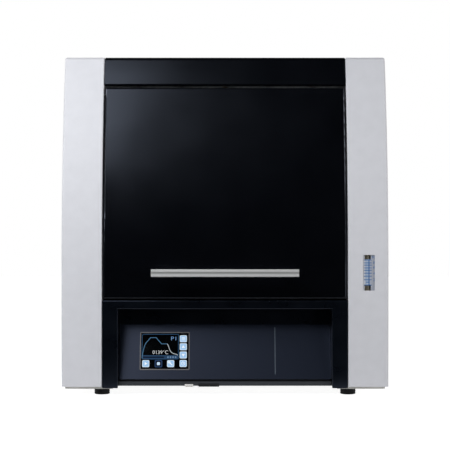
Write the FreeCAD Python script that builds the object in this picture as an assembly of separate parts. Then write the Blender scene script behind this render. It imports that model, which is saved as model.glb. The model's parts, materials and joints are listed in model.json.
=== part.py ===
"""Bench furnace for sintering dental ceramics, in millimetres.

The housing stands on four rubber feet with +Z up. X = 0 is its middle plane, -Y is the
front and Z = 0 is the surface it stands on. Y = 0 is halfway between the front of the
door handle and the rear of the gas inlet.

The front is one curved skin: upright low down, then an arc that leans back. The door,
the top band, the side covers and the frame plates behind them all follow that skin.
"""
import FreeCAD, Part
import os
from math import atan2, cos, degrees, pi, sin, sqrt

V = FreeCAD.Vector
X_AXIS = V(1, 0, 0)
Y_AXIS = V(0, 1, 0)
Z_AXIS = V(0, 0, 1)

# Housing
housing_width = 560.0
housing_depth = 480.0
cover_height = 570.6
cover_front_width = 69.5
skin_upright = 199.1
skin_radius = 1085.0
cover_sheet = 1.5
cover_flange = 30.0
cover_outer_rounding = 3.6
cover_inner_rounding = 2.4
top_rounding = 8.0
rear_reach = 34.0

# Base and feet
foot_radius = 13.5
foot_height = 12.1
foot_side_inset = 67.0
foot_setback = 38.0
foot_groove = 1.4
foot_bevel = 1.2
base_thickness = 3.8
base_side_inset = 5.3
base_front_setback = 5.0
base_rear_setback = 2.0
base_notch_margin = 9.0
base_notch_depth = 60.0
base_corner = 4.0
base_slot_length = 60.0
base_slot_width = 5.0
base_slot_pitch = 16.0
base_slot_count = 10

# Frame
frame_sheet = 2.0
frame_flange = 20.0
frame_flange_gap = 4.0
seat_gap = 0.3
cross_member_gap = 20.0
deck_rise = 5.8
deck_lip = 16.0
header_rise = 1.5
header_flange = 24.0
header_hole_radius = 11.0
header_hole_pitch = 76.0
header_hole_count = 5
frame_window_margin = 40.0
frame_window_radius = 12.0

# Lower bezel and control recess
bezel_side_gap = 0.5
bezel_pillar = 26.5
bezel_bar = 15.1
bezel_skirt = 2.4
bezel_depth = 56.0
bezel_wall = 2.5
recess_height = 133.2
recess_back_depth = 50.0
bezel_rounding = 2.5
lip_rounding = 1.6

# Sloped control panel
panel_foot_rise = 11.4
panel_head_drop = 29.6
panel_bottom_depth = 18.0
panel_thickness = 2.5
panel_fit = 0.3
panel_corner = 3.0
screen_width = 82.8
screen_height = 64.3
screen_thickness = 1.8
screen_side_inset = 79.2
screen_above_middle = 1.2
screen_frame_width = 1.7
screen_frame_proud = 0.8
screen_frame_corner = 2.0
screen_fit = 0.3
backlight_depth = 6.0
backlight_margin = 2.0
screen_board_margin = 6.0
board_thickness = 1.6

# Sill and the socket under it
sill_height = 7.4
sill_sheet = 1.5
sill_lip = 6.0
sill_overlap = 20.0
usb_width = 14.0
usb_depth = 6.5
usb_height = 14.0
usb_drop = 2.4
usb_centre_x = -62.0
usb_setback = 26.0
usb_wall = 0.6
usb_roof = 2.0
usb_tongue = 1.8
usb_tongue_gap = 1.0
port_width = 36.0
port_centre_x = -28.0
port_flange = 2.3
port_lip = 1.0
port_neck = 4.0

# Door
door_side_gap = 2.0
door_foot_gap = 2.4
door_head_gap = 4.2
door_sheet = 1.5
door_rounding = 3.0
band_height = 51.2
band_side_gap = 1.0
seal_space = 3.0
liner_bead_width = 10.0
liner_bead_depth = 0.6
liner_bead_inset = 30.0
hinge_below_top = 12.0
hinge_behind_skin = 11.0
hinge_pin_radius = 4.0
running_gap = 0.05
fixed_gap = 0.02
hinge_bush_radius = 6.0
hinge_bracket_thickness = 12.0
hinge_bracket_width = 30.0
hinge_bracket_height = 44.0
hinge_head_radius = 5.4
hinge_head_thickness = 4.0

# Door handle
handle_length = 249.0
handle_height = 12.4
handle_thickness = 12.4
handle_reach = 52.0
handle_rise = 45.4
handle_groove = 3.6
handle_groove_depth = 1.6
handle_rounding = 1.2
post_radius = 4.5
post_end_inset = 26.5

# Hot box
hot_box_side_gap = 16.0
hot_box_head_gap = 29.1
hot_box_gap = 10.5
hot_box_sheet = 1.5
hot_box_corner = 3.0
side_insulation_thickness = 104.5
floor_insulation_thickness = 92.5
roof_insulation_thickness = 76.5
back_insulation_thickness = 90.5
mouth_ring_thickness = 69.5
rear_space = 50.5
mouth_side_taper = 6.0
mouth_bottom_taper = 25.0
mouth_top_taper = 6.0
plug_clearance = 2.0
plug_end_gap = 4.0
mouth_trim_gap = 2.0
gasket_width = 10.0
gasket_thickness = 2.7
gasket_margin = 6.0

# Heating elements
element_radius = 3.0
grip_radius = 6.0
grip_cone = 6.0
element_half_spacing = 20.0
element_wall_gap = 12.0
element_bottom_clearance = 20.0
element_hole_radius = 7.0
grip_start_rise = 8.0
grip_top_rise = 40.0
holder_height = 14.0
holder_margin = 12.0
holder_gap = 0.1
clamp_size = 18.0
clamp_height = 12.0
clamp_slit = 1.6
strap_width = 12.0
strap_thickness = 2.0
hearth_side_gap = 5.0
hearth_end_gap = 10.0
hearth_thickness = 8.0
hearth_corner = 6.0

# Exhaust
exhaust_outer_radius = 10.0
exhaust_inner_radius = 7.0
exhaust_inset = 50.0
cowl_side_inset = 53.5
cowl_rear_inset = 71.0
cowl_depth = 150.0
cowl_height = 20.5
cowl_sheet = 1.2
cowl_corner = 9.0
cowl_rounding = 6.0
cowl_slot_width = 4.0
cowl_slot_length = 10.0
cowl_slot_pitch = 14.0
cowl_slot_count = 21
lid_slot_count = 12
lid_slot_width = 8.0
lid_slot_length = 50.0
lid_slot_pitch = 21.0
lid_slot_rear_gap = 32.0

# Flow meter in the right column
window_inset = 35.7
window_width = 20.0
window_foot_rise = 14.0
window_height = 61.0
window_corner = 1.0
meter_width = 30.0
meter_depth = 24.0
meter_overlap = 8.5
meter_corner = 1.0
meter_bore_shift = 1.9
meter_bore_radius = 3.5
meter_bore_setback = 14.0
float_radius = 3.0
stem_radius = 5.3
stem_fit = 0.05
stem_end_inset = 1.0
low_stem_show = 9.4
high_stem_show = 7.6
barb_radius = 3.5
barb_reach = 20.0
bracket_sheet = 2.0
bracket_flange = 22.0
hose_radius = 3.0
hose_bore_radius = 2.0
hose_bend = 20.0
hose_climb = 110.0
hose_hole_gap = 5.0
valve_size = 30.0
valve_setback = 110.0
valve_length = 44.0
valve_half_height = 11.0
valve_stem_radius = 6.0
valve_stem_length = 5.0
coil_height = 29.0
coil_inset = 2.0
coil_end_gap = 8.0
coil_corner = 4.0
inlet_body_radius = 9.0
inlet_thread_radius = 6.7
inlet_thread_length = 16.0
inlet_nut_radius = 11.0
inlet_nut_thickness = 5.0
inlet_bore_radius = 3.0
inlet_bore_length = 20.0
inlet_collar_length = 10.0
inlet_collar_step = 1.5

# Probes through the back of the hot box
lance_radius = 3.0
lance_bore_radius = 1.6
lance_x = 40.0
lance_rise = 36.0
lance_tip_reach = 5.0
lance_elbow = 14.0
lance_hose_setback = 33.5
probe_drop = 44.0
probe_radius = 2.5
probe_tip_reach = 30.0
probe_hole_gap = 0.3
probe_head_radius = 11.0
probe_head_length = 30.0
probe_head_chamfer = 3.0

# Electrics in the lower compartment
fan_size = 80.0
fan_thickness = 25.0
fan_rise = 79.1
fan_corner = 5.0
fan_bore_radius = 38.0
fan_hub_radius = 16.0
fan_arm_width = 4.0
fan_arm_thickness = 3.0
fan_blade_count = 7
fan_blade_pitch = 38.0
fan_blade_chord = 24.0
fan_blade_root = 15.0
fan_blade_thickness = 1.2
fan_tip_gap = 1.5
fan_end_gap = 2.5
fan_axle_radius = 1.5
fan_axle_length = 12.0
fan_axle_end_gap = 0.5
guard_thickness = 1.6
guard_ring_width = 2.2
guard_ring_count = 4
guard_bar_width = 4.0
guard_bar_length = 96.0
inlet_inset = 115.0
inlet_rise = 54.1
inlet_width = 30.0
inlet_plate_height = 62.0
inlet_plate = 2.4
inlet_flange = 3.0
inlet_corner = 2.5
inlet_body_depth = 30.0
inlet_rim = 5.0
socket_width = 24.4
socket_height = 16.4
socket_depth = 15.0
socket_corner = 3.0
pin_spacing = 7.0
pin_width = 2.0
pin_height = 4.0
pin_setback = 3.0
pin_drop = 1.5
pin_rise = 2.5
rocker_width = 12.8
rocker_length = 18.8
rocker_pivot_depth = 4.0
rocker_gap = 0.3
rocker_tilt = 7.0
rocker_body_depth = 4.0
rocker_swing_depth = 6.0
rocker_end_gap = 0.6
rocker_taper = 2.5
rocker_proud = 1.0
rocker_dip = 0.6
transformer_radius = 68.0
transformer_core_radius = 24.0
transformer_height = 62.0
transformer_chamfer = 12.0
transformer_side_gap = 26.0
transformer_rear_gap = 80.5
sink_width = 100.0
sink_depth = 130.0
sink_base = 8.0
sink_fin_height = 30.0
sink_fin = 2.5
sink_fin_count = 9
sink_side_gap = 62.0
sink_rear_gap = 88.5
module_width = 46.0
module_depth = 58.0
module_height = 20.0
module_terminal_radius = 5.0
module_terminal_height = 3.0
control_board_width = 140.0
control_board_depth = 110.0
control_board_side_gap = 42.0
control_board_setback = 160.0
standoff_height = 10.0
standoff_radius = 3.0
standoff_inset = 5.0
relay_width = 19.0
relay_depth = 15.0
relay_height = 15.0
relay_pitch = 24.0
relay_inset = 12.0
relay_count = 3
capacitor_radius = 8.0
capacitor_height = 24.0
capacitor_pitch = 20.0
capacitor_inset = 20.0
capacitor_count = 2
plug_strip_width = 10.0
plug_strip_length = 55.0
plug_strip_height = 12.0
plug_strip_inset = 6.0
terminal_inlet_gap = 14.0
terminal_width = 36.0
terminal_depth = 18.0
terminal_height = 34.0
terminal_groove = 4.0
terminal_groove_depth = 8.0
lead_radius = 4.0
lead_hole_gap = 3.0
lead_bend = 24.0
lead_rear_gap = 26.5
lead_side_step = 40.0
lead_forward_run = 90.0
screw_head_radius = 3.6
screw_head_height = 1.6
screw_crown_share = 0.7
small_screw_head_radius = 2.6
screw_side_inset = 35.5
screw_end_inset = 30.0
small_screw_inset = 3.3
small_screw_setback = 24.0
panel_screw_inset = 10.0
panel_screw_end = 40.0
louvre_count = 12
louvre_pitch = 9.0
louvre_length = 60.0
louvre_width = 4.0
louvre_x = 110.0
louvre_drop = 40.0

# Overshoot of a cutter past the face that it opens
past = 1.0

# Two places closer than this are one place, and an edge shorter than this isn't picked
same_place = 0.01
shortest_edge = 1.0

# Heights worked out from the sizes above
base_top = foot_height + base_thickness
housing_top = base_top + cover_height
plate_top = housing_top - cover_sheet
skin_bend_height = base_top + skin_upright
recess_ceiling = base_top + recess_height
bezel_top = recess_ceiling + bezel_bar
bezel_skirt_bottom = base_top - bezel_skirt
panel_bottom = base_top + panel_foot_rise
panel_top = recess_ceiling - panel_head_drop
sill_top = base_top + sill_height
deck_top = bezel_top + deck_rise
door_bottom = bezel_top + door_foot_gap
band_bottom = housing_top - band_height
door_top = band_bottom - door_head_gap
handle_centre_height = door_bottom + handle_rise
hot_box_top = door_top - hot_box_head_gap
header_foot = hot_box_top + header_rise
chamber_floor = deck_top + hot_box_sheet + floor_insulation_thickness
chamber_roof = hot_box_top - hot_box_sheet - roof_insulation_thickness
mouth_bottom = chamber_floor - mouth_bottom_taper
mouth_top = chamber_roof + mouth_top_taper
grip_top = hot_box_top + grip_top_rise
lance_height = chamber_floor + lance_rise
probe_height = chamber_roof - probe_drop
window_bottom = door_bottom + window_foot_rise
window_top = window_bottom + window_height
meter_bottom = window_bottom - meter_overlap
meter_top = window_top + meter_overlap
low_stem_top = window_bottom + low_stem_show
high_stem_bottom = window_top - high_stem_show
barb_low = (meter_bottom + low_stem_top) / 2.0
barb_high = (high_stem_bottom + meter_top) / 2.0
fan_height = base_top + fan_rise
inlet_height = base_top + inlet_rise

# Widths worked out from the sizes above, as distances from the middle plane
half_width = housing_width / 2.0
cover_inner_x = half_width - cover_front_width
plate_inner_x = cover_inner_x + cover_sheet
plate_outer_x = plate_inner_x + frame_sheet
foot_x = half_width - foot_side_inset
door_half_width = cover_inner_x - door_side_gap
band_half_width = cover_inner_x - band_side_gap
bezel_half_width = cover_inner_x - bezel_side_gap
recess_half_width = bezel_half_width - bezel_pillar
base_notch_half_width = recess_half_width + base_notch_margin
screen_centre_x = screen_side_inset - recess_half_width
post_x = handle_length / 2.0 - post_end_inset
hot_box_half_width = plate_inner_x - hot_box_side_gap
chamber_half_width = hot_box_half_width - hot_box_sheet - side_insulation_thickness
mouth_half_width = chamber_half_width + mouth_side_taper
element_x = chamber_half_width - element_wall_gap
hearth_half_width = element_x - element_radius - hearth_side_gap
cowl_half_width = band_half_width - cowl_side_inset
window_centre_x = cover_inner_x + window_inset
meter_bore_x = window_centre_x - meter_bore_shift
inlet_x = half_width - inlet_inset
terminal_x = inlet_x - inlet_width / 2.0 - terminal_inlet_gap - terminal_width / 2.0
transformer_x = transformer_side_gap + transformer_radius - plate_inner_x
sink_x = plate_inner_x - sink_side_gap - sink_width / 2.0
control_board_x = control_board_side_gap + control_board_width / 2.0 - plate_inner_x

# Places along Y worked out from the sizes above
front = (handle_reach - rear_reach - housing_depth) / 2.0
back = front + housing_depth
rear_face = back - cover_sheet
skin_centre_y = front + skin_radius
hot_back = rear_face - rear_space
chamber_back = hot_back - hot_box_sheet - back_insulation_thickness
exhaust_y = chamber_back - exhaust_inset
cowl_rear = back - cowl_rear_inset
meter_axis_y = front + meter_bore_setback
lead_y = rear_face - lead_rear_gap
lance_hose_y = rear_face - lance_hose_setback

# The sloped panel
panel_run = recess_back_depth - panel_bottom_depth
panel_rise = panel_top - panel_bottom
panel_tilt = degrees(atan2(panel_run, panel_rise))
panel_length = sqrt(panel_run ** 2 + panel_rise ** 2)
screen_centre_rise = panel_length / 2.0 + screen_above_middle


def skin_y(depth, height):
    """The Y of the surface that lies depth behind the front skin, at one height."""
    if height <= skin_bend_height:
        return front + depth
    rise = height - skin_bend_height
    return skin_centre_y - sqrt((skin_radius - depth) ** 2 - rise ** 2)


# Places that follow the lean of the skin at the hinge and at the flow meter
hinge_z = door_top - hinge_below_top
hinge_y = skin_y(0.0, hinge_z) + hinge_behind_skin
cross_member_y = hinge_y + cross_member_gap
cover_return_end = cross_member_y - seat_gap
hot_front = hinge_y + hot_box_gap
liner_back = hot_front - seal_space
ring_front = hot_front + hot_box_sheet
chamber_front = ring_front + mouth_ring_thickness
chamber_depth = chamber_back - chamber_front
chamber_middle_y = (chamber_front + chamber_back) / 2.0
element_pitch = chamber_depth / 2.0
meter_front = skin_y(cover_sheet + seat_gap, meter_top)
meter_back = meter_front + meter_depth


def block(x0, x1, y0, y1, z0, z1):
    return Part.makeBox(x1 - x0, y1 - y0, z1 - z0, V(x0, y0, z0))


def rod(radius, length, base, axis):
    return Part.makeCylinder(radius, length, base, axis)


def fused(shapes):
    """One solid from several that touch or overlap."""
    whole = shapes[0]
    for shape in shapes[1:]:
        whole = whole.fuse(shape)
    return whole.removeSplitter()


def without(shape, cutters):
    """The shape less every cutter in the list."""
    for cutter in cutters:
        shape = shape.cut(cutter)
    return shape


def mirrored(shape):
    """The same piece on the other side of the middle plane."""
    return shape.mirror(V(0, 0, 0), X_AXIS)


def both_sides(shape):
    return [shape, mirrored(shape)]


def turned_profile(points, base, axis=Z_AXIS):
    """A solid of revolution from radius and height pairs, set on base along axis."""
    face = Part.Face(Part.makePolygon([V(r, 0, h) for r, h in points + points[:1]]))
    solid = face.revolve(V(0, 0, 0), Z_AXIS, 360)
    solid.Placement = FreeCAD.Placement(base, FreeCAD.Rotation(Z_AXIS, axis))
    return solid


def side_profile(points, x0, x1):
    """A straight-sided outline in the Y-Z plane, carried from x0 to x1."""
    face = Part.Face(Part.makePolygon([V(x0, y, z) for y, z in points + points[:1]]))
    return face.extrude(V(x1 - x0, 0, 0))


def skin_edges(x, depth, low, high):
    """Edges that run up the surface depth behind the skin, from low to high."""
    edges = []
    start = V(x, skin_y(depth, low), low)
    if low < skin_bend_height:
        bend = V(x, skin_y(depth, low), min(high, skin_bend_height))
        edges.append(Part.LineSegment(start, bend).toShape())
        start = bend
    if high > skin_bend_height:
        middle_z = (start.z + high) / 2.0
        middle = V(x, skin_y(depth, middle_z), middle_z)
        end = V(x, skin_y(depth, high), high)
        edges.append(Part.Arc(start, middle, end).toShape())
    return edges


def skin_block(x0, x1, depth, low, high, rear):
    """A solid whose front follows the skin and whose rear is upright at rear."""
    edges = skin_edges(x0, depth, low, high)
    corners = [
        V(x0, skin_y(depth, high), high),
        V(x0, rear, high),
        V(x0, rear, low),
        V(x0, skin_y(depth, low), low),
    ]
    for start, end in zip(corners, corners[1:]):
        edges.append(Part.LineSegment(start, end).toShape())
    face = Part.Face(Part.Wire(edges))
    return face.extrude(V(x1 - x0, 0, 0))


def rounded(shape, radius, wanted):
    """The shape with a radius on each edge that wanted picks by its box."""
    edges = [edge for edge in shape.Edges if wanted(edge.BoundBox)]
    return shape.makeFillet(radius, edges)


def same(first, second):
    return abs(first - second) < same_place


def along_x_at(height, limit_y):
    """Picks straight edges along X at one height, in front of limit_y."""
    def wanted(box):
        level = same(box.ZMin, height) and same(box.ZMax, height)
        return level and box.XLength > shortest_edge and box.YMax < limit_y
    return wanted


def up_the_front_at(x, limit_y):
    """Picks the edges that run up the front face at one X."""
    def wanted(box):
        return same(box.XMin, x) and same(box.XMax, x) and box.ZLength > shortest_edge and box.YMax < limit_y
    return wanted


def upright_edges(box):
    return box.ZLength > shortest_edge and box.XLength < same_place and box.YLength < same_place


def rounded_block(x0, x1, y0, y1, z0, z1, radius):
    """A block with its four upright edges rounded."""
    return rounded(block(x0, x1, y0, y1, z0, z1), radius, upright_edges)


def slab_window(x0, x1, y0, y1, z0, z1, radius):
    """A cutter through Y with rounded corners."""
    def wanted(box):
        return box.YLength > shortest_edge and box.XLength < same_place and box.ZLength < same_place
    return rounded(block(x0, x1, y0, y1, z0, z1), radius, wanted)


def web_window(x0, x1, y0, y1, z0, z1, radius):
    """A cutter through X with rounded corners."""
    def wanted(box):
        return box.XLength > shortest_edge and box.YLength < same_place and box.ZLength < same_place
    return rounded(block(x0, x1, y0, y1, z0, z1), radius, wanted)


def bent_path(points, radius):
    """A wire of straight runs joined by tangent arcs."""
    edges = []
    start = points[0]
    for before, corner, after in zip(points, points[1:], points[2:]):
        into = (corner - before).normalize()
        out = (after - corner).normalize()
        half_turn = into.getAngle(out) / 2.0
        setback = radius * sin(half_turn) / cos(half_turn)
        arc_start = corner - into * setback
        arc_end = corner + out * setback
        inward = (out - into).normalize()
        middle = corner + inward * (radius / cos(half_turn) - radius)
        edges.append(Part.LineSegment(start, arc_start).toShape())
        edges.append(Part.Arc(arc_start, middle, arc_end).toShape())
        start = arc_end
    edges.append(Part.LineSegment(start, points[-1]).toShape())
    return Part.Wire(edges)


def tube_along(points, bend, radius, bore=0.0):
    """A round rod or tube along straight runs and arcs."""
    path = bent_path(points, bend)
    direction = points[1] - points[0]

    def swept(section_radius):
        circle = Part.Wire(Part.makeCircle(section_radius, points[0], direction))
        return path.makePipeShell([circle], True, False)

    body = swept(radius)
    if bore > 0:
        body = body.cut(swept(bore))
    return body


def on_panel(shape):
    """Lays a piece drawn against an upright panel at the origin onto the sloped panel."""
    shape = shape.copy()
    shape.rotate(V(0, 0, 0), X_AXIS, -panel_tilt)
    shape.translate(V(0, front + panel_bottom_depth, panel_bottom))
    return shape


# Base and feet

def make_base_plate():
    """The plate under the housing, notched in front and slotted for cooling air."""
    front_edge = front + base_front_setback
    rear_edge = back - base_rear_setback
    half = half_width - base_side_inset
    plate = rounded_block(-half, half, front_edge, rear_edge, foot_height, base_top, base_corner)
    notch_end = front + base_notch_depth
    low = foot_height - past
    high = base_top + past
    notch_x = base_notch_half_width
    notch_start = front_edge - base_corner * 2
    notch = rounded_block(-notch_x, notch_x, notch_start, notch_end, low, high, base_corner)
    cutters = [notch]
    half_slot = base_slot_width / 2.0
    y0 = (front + back - base_slot_length) / 2.0
    y1 = y0 + base_slot_length
    for group_x in (transformer_x, -transformer_x):
        for index in range(base_slot_count):
            x = group_x + (index - (base_slot_count - 1) / 2.0) * base_slot_pitch
            cutters.append(block(x - half_slot, x + half_slot, y0, y1, low, high))
    return without(plate, cutters)


def make_rubber_feet():
    """Four round feet with one groove round the middle and a bevelled sole."""
    waist = foot_radius - foot_groove
    sole = foot_radius - foot_bevel
    low = foot_height / 2.0 - foot_groove
    high = foot_height / 2.0 + foot_groove
    outline = [
        (0, 0), (sole, 0), (foot_radius, foot_bevel), (foot_radius, low),
        (waist, foot_height / 2.0), (foot_radius, high), (foot_radius, foot_height), (0, foot_height),
    ]
    feet = []
    for x in (-foot_x, foot_x):
        for y in (front + foot_setback, back - foot_setback):
            feet.append(turned_profile(outline, V(x, y, 0)))
    return Part.makeCompound(feet)


# Covers

def side_cover():
    """The left cover: a folded sheet with a curved front, open behind and inside."""
    x0 = -half_width
    x1 = -cover_inner_x
    sheet = cover_sheet
    limit = back - past
    outer = skin_block(x0, x1, 0, base_top, housing_top, back)
    outer = rounded(outer, top_rounding, along_x_at(housing_top, limit))
    outer = rounded(outer, cover_outer_rounding, up_the_front_at(x0, limit))
    outer = rounded(outer, cover_inner_rounding, up_the_front_at(x1, limit))
    inner_low = base_top + sheet
    inner = skin_block(x0 + sheet, x1 - sheet, sheet, inner_low, plate_top, back + past)
    inner = rounded(inner, top_rounding - sheet, along_x_at(plate_top, limit))
    low = base_top - past
    open_side = block(x1 - 2 * sheet, x1 + past, cover_return_end, back + past, low, plate_top)
    floor_x0 = x0 + cover_flange
    open_floor = block(floor_x0, x1 - sheet, front + sheet, back + past, low, inner_low + sheet / 2.0)
    pin_hole = rod(hinge_bush_radius, x1 - floor_x0 + past, V(floor_x0, hinge_y, hinge_z), X_AXIS)
    return without(outer, [inner, open_side, open_floor, pin_hole])


def make_left_side_cover():
    return side_cover()


def make_right_side_cover():
    """The other cover, with the window for the flow meter."""
    half = window_width / 2.0
    x0 = window_centre_x - half
    x1 = window_centre_x + half
    reach = meter_front - front + cover_sheet
    window = slab_window(x0, x1, front - reach, meter_front, window_bottom, window_top, window_corner)
    return mirrored(side_cover()).cut(window)


def make_top_cover():
    """The black band over the door and the lid behind it, from one sheet."""
    sheet = cover_sheet
    limit = back - past
    half = band_half_width
    outer = skin_block(-half, half, 0, band_bottom, housing_top, back)
    outer = rounded(outer, top_rounding, along_x_at(housing_top, limit))
    outer = rounded(outer, door_rounding, along_x_at(band_bottom, limit))
    inner_low = band_bottom + sheet
    inner = skin_block(-half - past, half + past, sheet, inner_low, plate_top, back + past)
    inner = rounded(inner, top_rounding - sheet, along_x_at(plate_top, limit))
    inner = rounded(inner, door_rounding - sheet, along_x_at(inner_low, limit))
    open_floor = block(
        -half - past, half + past, cover_return_end, back + past, band_bottom - past, inner_low + sheet / 2.0)
    low = plate_top - past
    high = housing_top + past
    cutters = [inner, open_floor, exhaust_hole(low, high)]
    y1 = cowl_rear - lid_slot_rear_gap
    y0 = y1 - lid_slot_length
    half_slot = lid_slot_width / 2.0
    for index in range(lid_slot_count):
        x = (index - (lid_slot_count - 1) / 2.0) * lid_slot_pitch
        cutters.append(block(x - half_slot, x + half_slot, y0, y1, low, high))
    return without(outer, cutters)


def make_vent_cowl():
    """A shallow hood over the exhaust, with slots along its rear."""
    x1 = cowl_half_width
    y0 = cowl_rear - cowl_depth
    y1 = cowl_rear
    z0 = housing_top
    z1 = housing_top + cowl_height
    sheet = cowl_sheet
    outer = rounded_block(-x1, x1, y0, y1, z0, z1, cowl_corner)
    outer = rounded(outer, cowl_rounding, lambda box: same(box.ZMin, z1))
    inner_radius = cowl_corner - sheet
    inner_x = x1 - sheet
    inner = rounded_block(
        -inner_x, inner_x, y0 + sheet, y1 - sheet, z0 - past, z1 - sheet, inner_radius)
    inner = rounded(inner, cowl_rounding - sheet, lambda box: same(box.ZMin, z1 - sheet))
    cutters = [inner]
    slot_low = z0 + (cowl_height - cowl_rounding - cowl_slot_length) / 2.0
    slot_high = slot_low + cowl_slot_length
    half = cowl_slot_width / 2.0
    for index in range(cowl_slot_count):
        x = (index - (cowl_slot_count - 1) / 2.0) * cowl_slot_pitch
        cutters.append(block(x - half, x + half, y1 - 2 * sheet, y1 + past, slot_low, slot_high))
    return without(outer, cutters)


def fan_centre():
    return V(0, rear_face, fan_height)


def make_rear_panel():
    """The flat rear wall with its cut-outs for the fan, the mains and the gas."""
    half = half_width - cover_sheet
    z0 = base_top + cover_sheet
    panel = block(-half, half, rear_face, back, z0, plate_top)
    y0 = rear_face - past
    y1 = back + past
    depth = y1 - y0
    centre = fan_centre()
    fan_hole = rod(fan_bore_radius, depth, V(centre.x, y0, centre.z), Y_AXIS)
    half_inlet = inlet_width / 2.0 - inlet_flange + panel_fit
    half_plate = inlet_plate_height / 2.0 - inlet_flange + panel_fit
    inlet_hole = block(
        inlet_x - half_inlet, inlet_x + half_inlet, y0, y1,
        inlet_height - half_plate, inlet_height + half_plate)
    gas_hole = rod(inlet_thread_radius + panel_fit, depth, V(meter_bore_x, y0, barb_low), Y_AXIS)
    cutters = [fan_hole, inlet_hole, gas_hole]
    half_length = louvre_length / 2.0
    half_height = louvre_width / 2.0
    for x in (-louvre_x, louvre_x):
        for row in range(louvre_count):
            z = hot_box_top - louvre_drop - row * louvre_pitch
            cutters.append(block(x - half_length, x + half_length, y0, y1, z - half_height, z + half_height))
    return without(panel, cutters)


# Frame

def frame_plate():
    """The left frame plate: an upright web with flanges turned inwards."""
    x0 = -plate_outer_x
    x1 = -plate_inner_x
    sheet = frame_sheet
    web = skin_block(x0, x1, cover_sheet + seat_gap, base_top, plate_top, rear_face)
    web = rounded(web, top_rounding - cover_sheet, along_x_at(plate_top, rear_face - past))
    x2 = x1 + frame_flange
    end = rear_face - frame_flange_gap
    foot_y = cover_return_end + frame_flange_gap
    head_y = cross_member_y + header_flange + frame_flange_gap
    foot = block(x1, x2, foot_y, end, base_top, base_top + sheet)
    head = block(x1, x2, head_y, end, plate_top - sheet, plate_top)
    plate = fused([web, foot, head])
    y0 = hot_front + frame_window_margin
    y1 = rear_face - frame_window_margin
    radius = frame_window_radius
    low = x0 - past
    high = x1 + past
    high_window = web_window(
        low, high, y0, y1, deck_top + frame_window_margin, hot_box_top - frame_window_margin, radius)
    low_window = web_window(
        low, high, y0, y1, base_top + frame_window_margin, deck_top - frame_window_margin, radius)
    pin_hole = rod(hinge_bush_radius + fixed_gap, high - low, V(low, hinge_y, hinge_z), X_AXIS)
    hose_hole = rod(hose_radius + hose_hole_gap, high - low, V(low, lance_hose_y, lance_height), X_AXIS)
    return without(plate, [high_window, low_window, pin_hole, hose_hole])


def make_frame_plates():
    return Part.makeCompound(both_sides(frame_plate()))


def make_deck_plate():
    """The shelf between the frame plates that carries the hot box."""
    half = plate_inner_x
    sheet = frame_sheet
    y0 = cross_member_y
    y1 = rear_face
    z0 = deck_top - sheet
    low = deck_top - deck_lip
    shelf = block(-half, half, y0, y1, z0, deck_top)
    lip = block(-half, half, y0, y0 + sheet, low, deck_top)
    left = block(-half, -half + sheet, y0, y1, low, deck_top)
    deck = fused([shelf, lip, left, mirrored(left)])
    holes = []
    for x in (-terminal_x, terminal_x):
        holes.append(rod(lead_radius + lead_hole_gap, sheet + 2 * past, V(x, lead_y, z0 - past), Z_AXIS))
    return without(deck, holes)


def make_front_header():
    """The cross member over the door, folded back at its top edge."""
    half = plate_inner_x
    sheet = frame_sheet
    y0 = cross_member_y
    web = block(-half, half, y0, y0 + sheet, header_foot, plate_top)
    flange = block(-half, half, y0, y0 + header_flange, plate_top - sheet, plate_top)
    header = fused([web, flange])
    hole_z = (header_foot + plate_top) / 2.0
    holes = []
    for index in range(header_hole_count):
        x = (index - (header_hole_count - 1) / 2.0) * header_hole_pitch
        holes.append(rod(header_hole_radius, sheet + 2 * past, V(x, y0 - past, hole_z), Y_AXIS))
    return without(header, holes)


# Lower bezel, recess and controls

def make_lower_front_bezel():
    """The moulded frame round the control recess, hollow behind its front wall."""
    y0 = front
    y1 = front + bezel_depth
    wide = bezel_half_width
    near = recess_half_width
    wall = bezel_wall
    body = block(-wide, wide, y0, y1, base_top, bezel_top)
    skirt = block(-wide, wide, y0, y0 + wall, bezel_skirt_bottom, bezel_top)
    body = fused([body, skirt])
    recess = block(-near, near, y0 - past, y1 + past, bezel_skirt_bottom - past, recess_ceiling)
    body = body.cut(recess)
    body = rounded(body, bezel_rounding, along_x_at(bezel_top, y0 + past))
    body = rounded(body, lip_rounding, lambda box: _is_recess_lip(box, y0, near))
    rear = y1 + past
    high = bezel_top - wall
    roof_low = recess_ceiling + wall
    hollow_left = block(-wide + wall, -near - wall, y0 + wall, rear, base_top - past, high)
    hollow_top = block(-wide + wall, wide - wall, y0 + wall, rear, roof_low, high)
    wall_y = front + recess_back_depth
    rear_wall = block(-near - wall, near + wall, wall_y, wall_y + wall, panel_top + panel_fit, roof_low)
    body = without(body, [hollow_left, mirrored(hollow_left), hollow_top])
    return fused([body, rear_wall])


def _is_recess_lip(box, front_y, near):
    if not (same(box.YMin, front_y) and same(box.YMax, front_y)):
        return False
    ceiling = same(box.ZMin, recess_ceiling) and same(box.ZMax, recess_ceiling)
    left = same(box.XMin, -near) and same(box.XMax, -near)
    right = same(box.XMin, near) and same(box.XMax, near)
    return ceiling or left or right


def make_control_panel():
    half = recess_half_width - panel_fit
    plate = block(-half, half, 0, panel_thickness, 0, panel_length)

    def bottom_corners(box):
        through = box.YLength > shortest_edge
        upright = box.XLength < same_place and box.ZLength < same_place
        return through and upright and same(box.ZMin, 0)

    plate = rounded(plate, panel_corner, bottom_corners)
    return on_panel(plate.cut(screen_block(screen_fit, -past, panel_thickness + past)))


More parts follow.
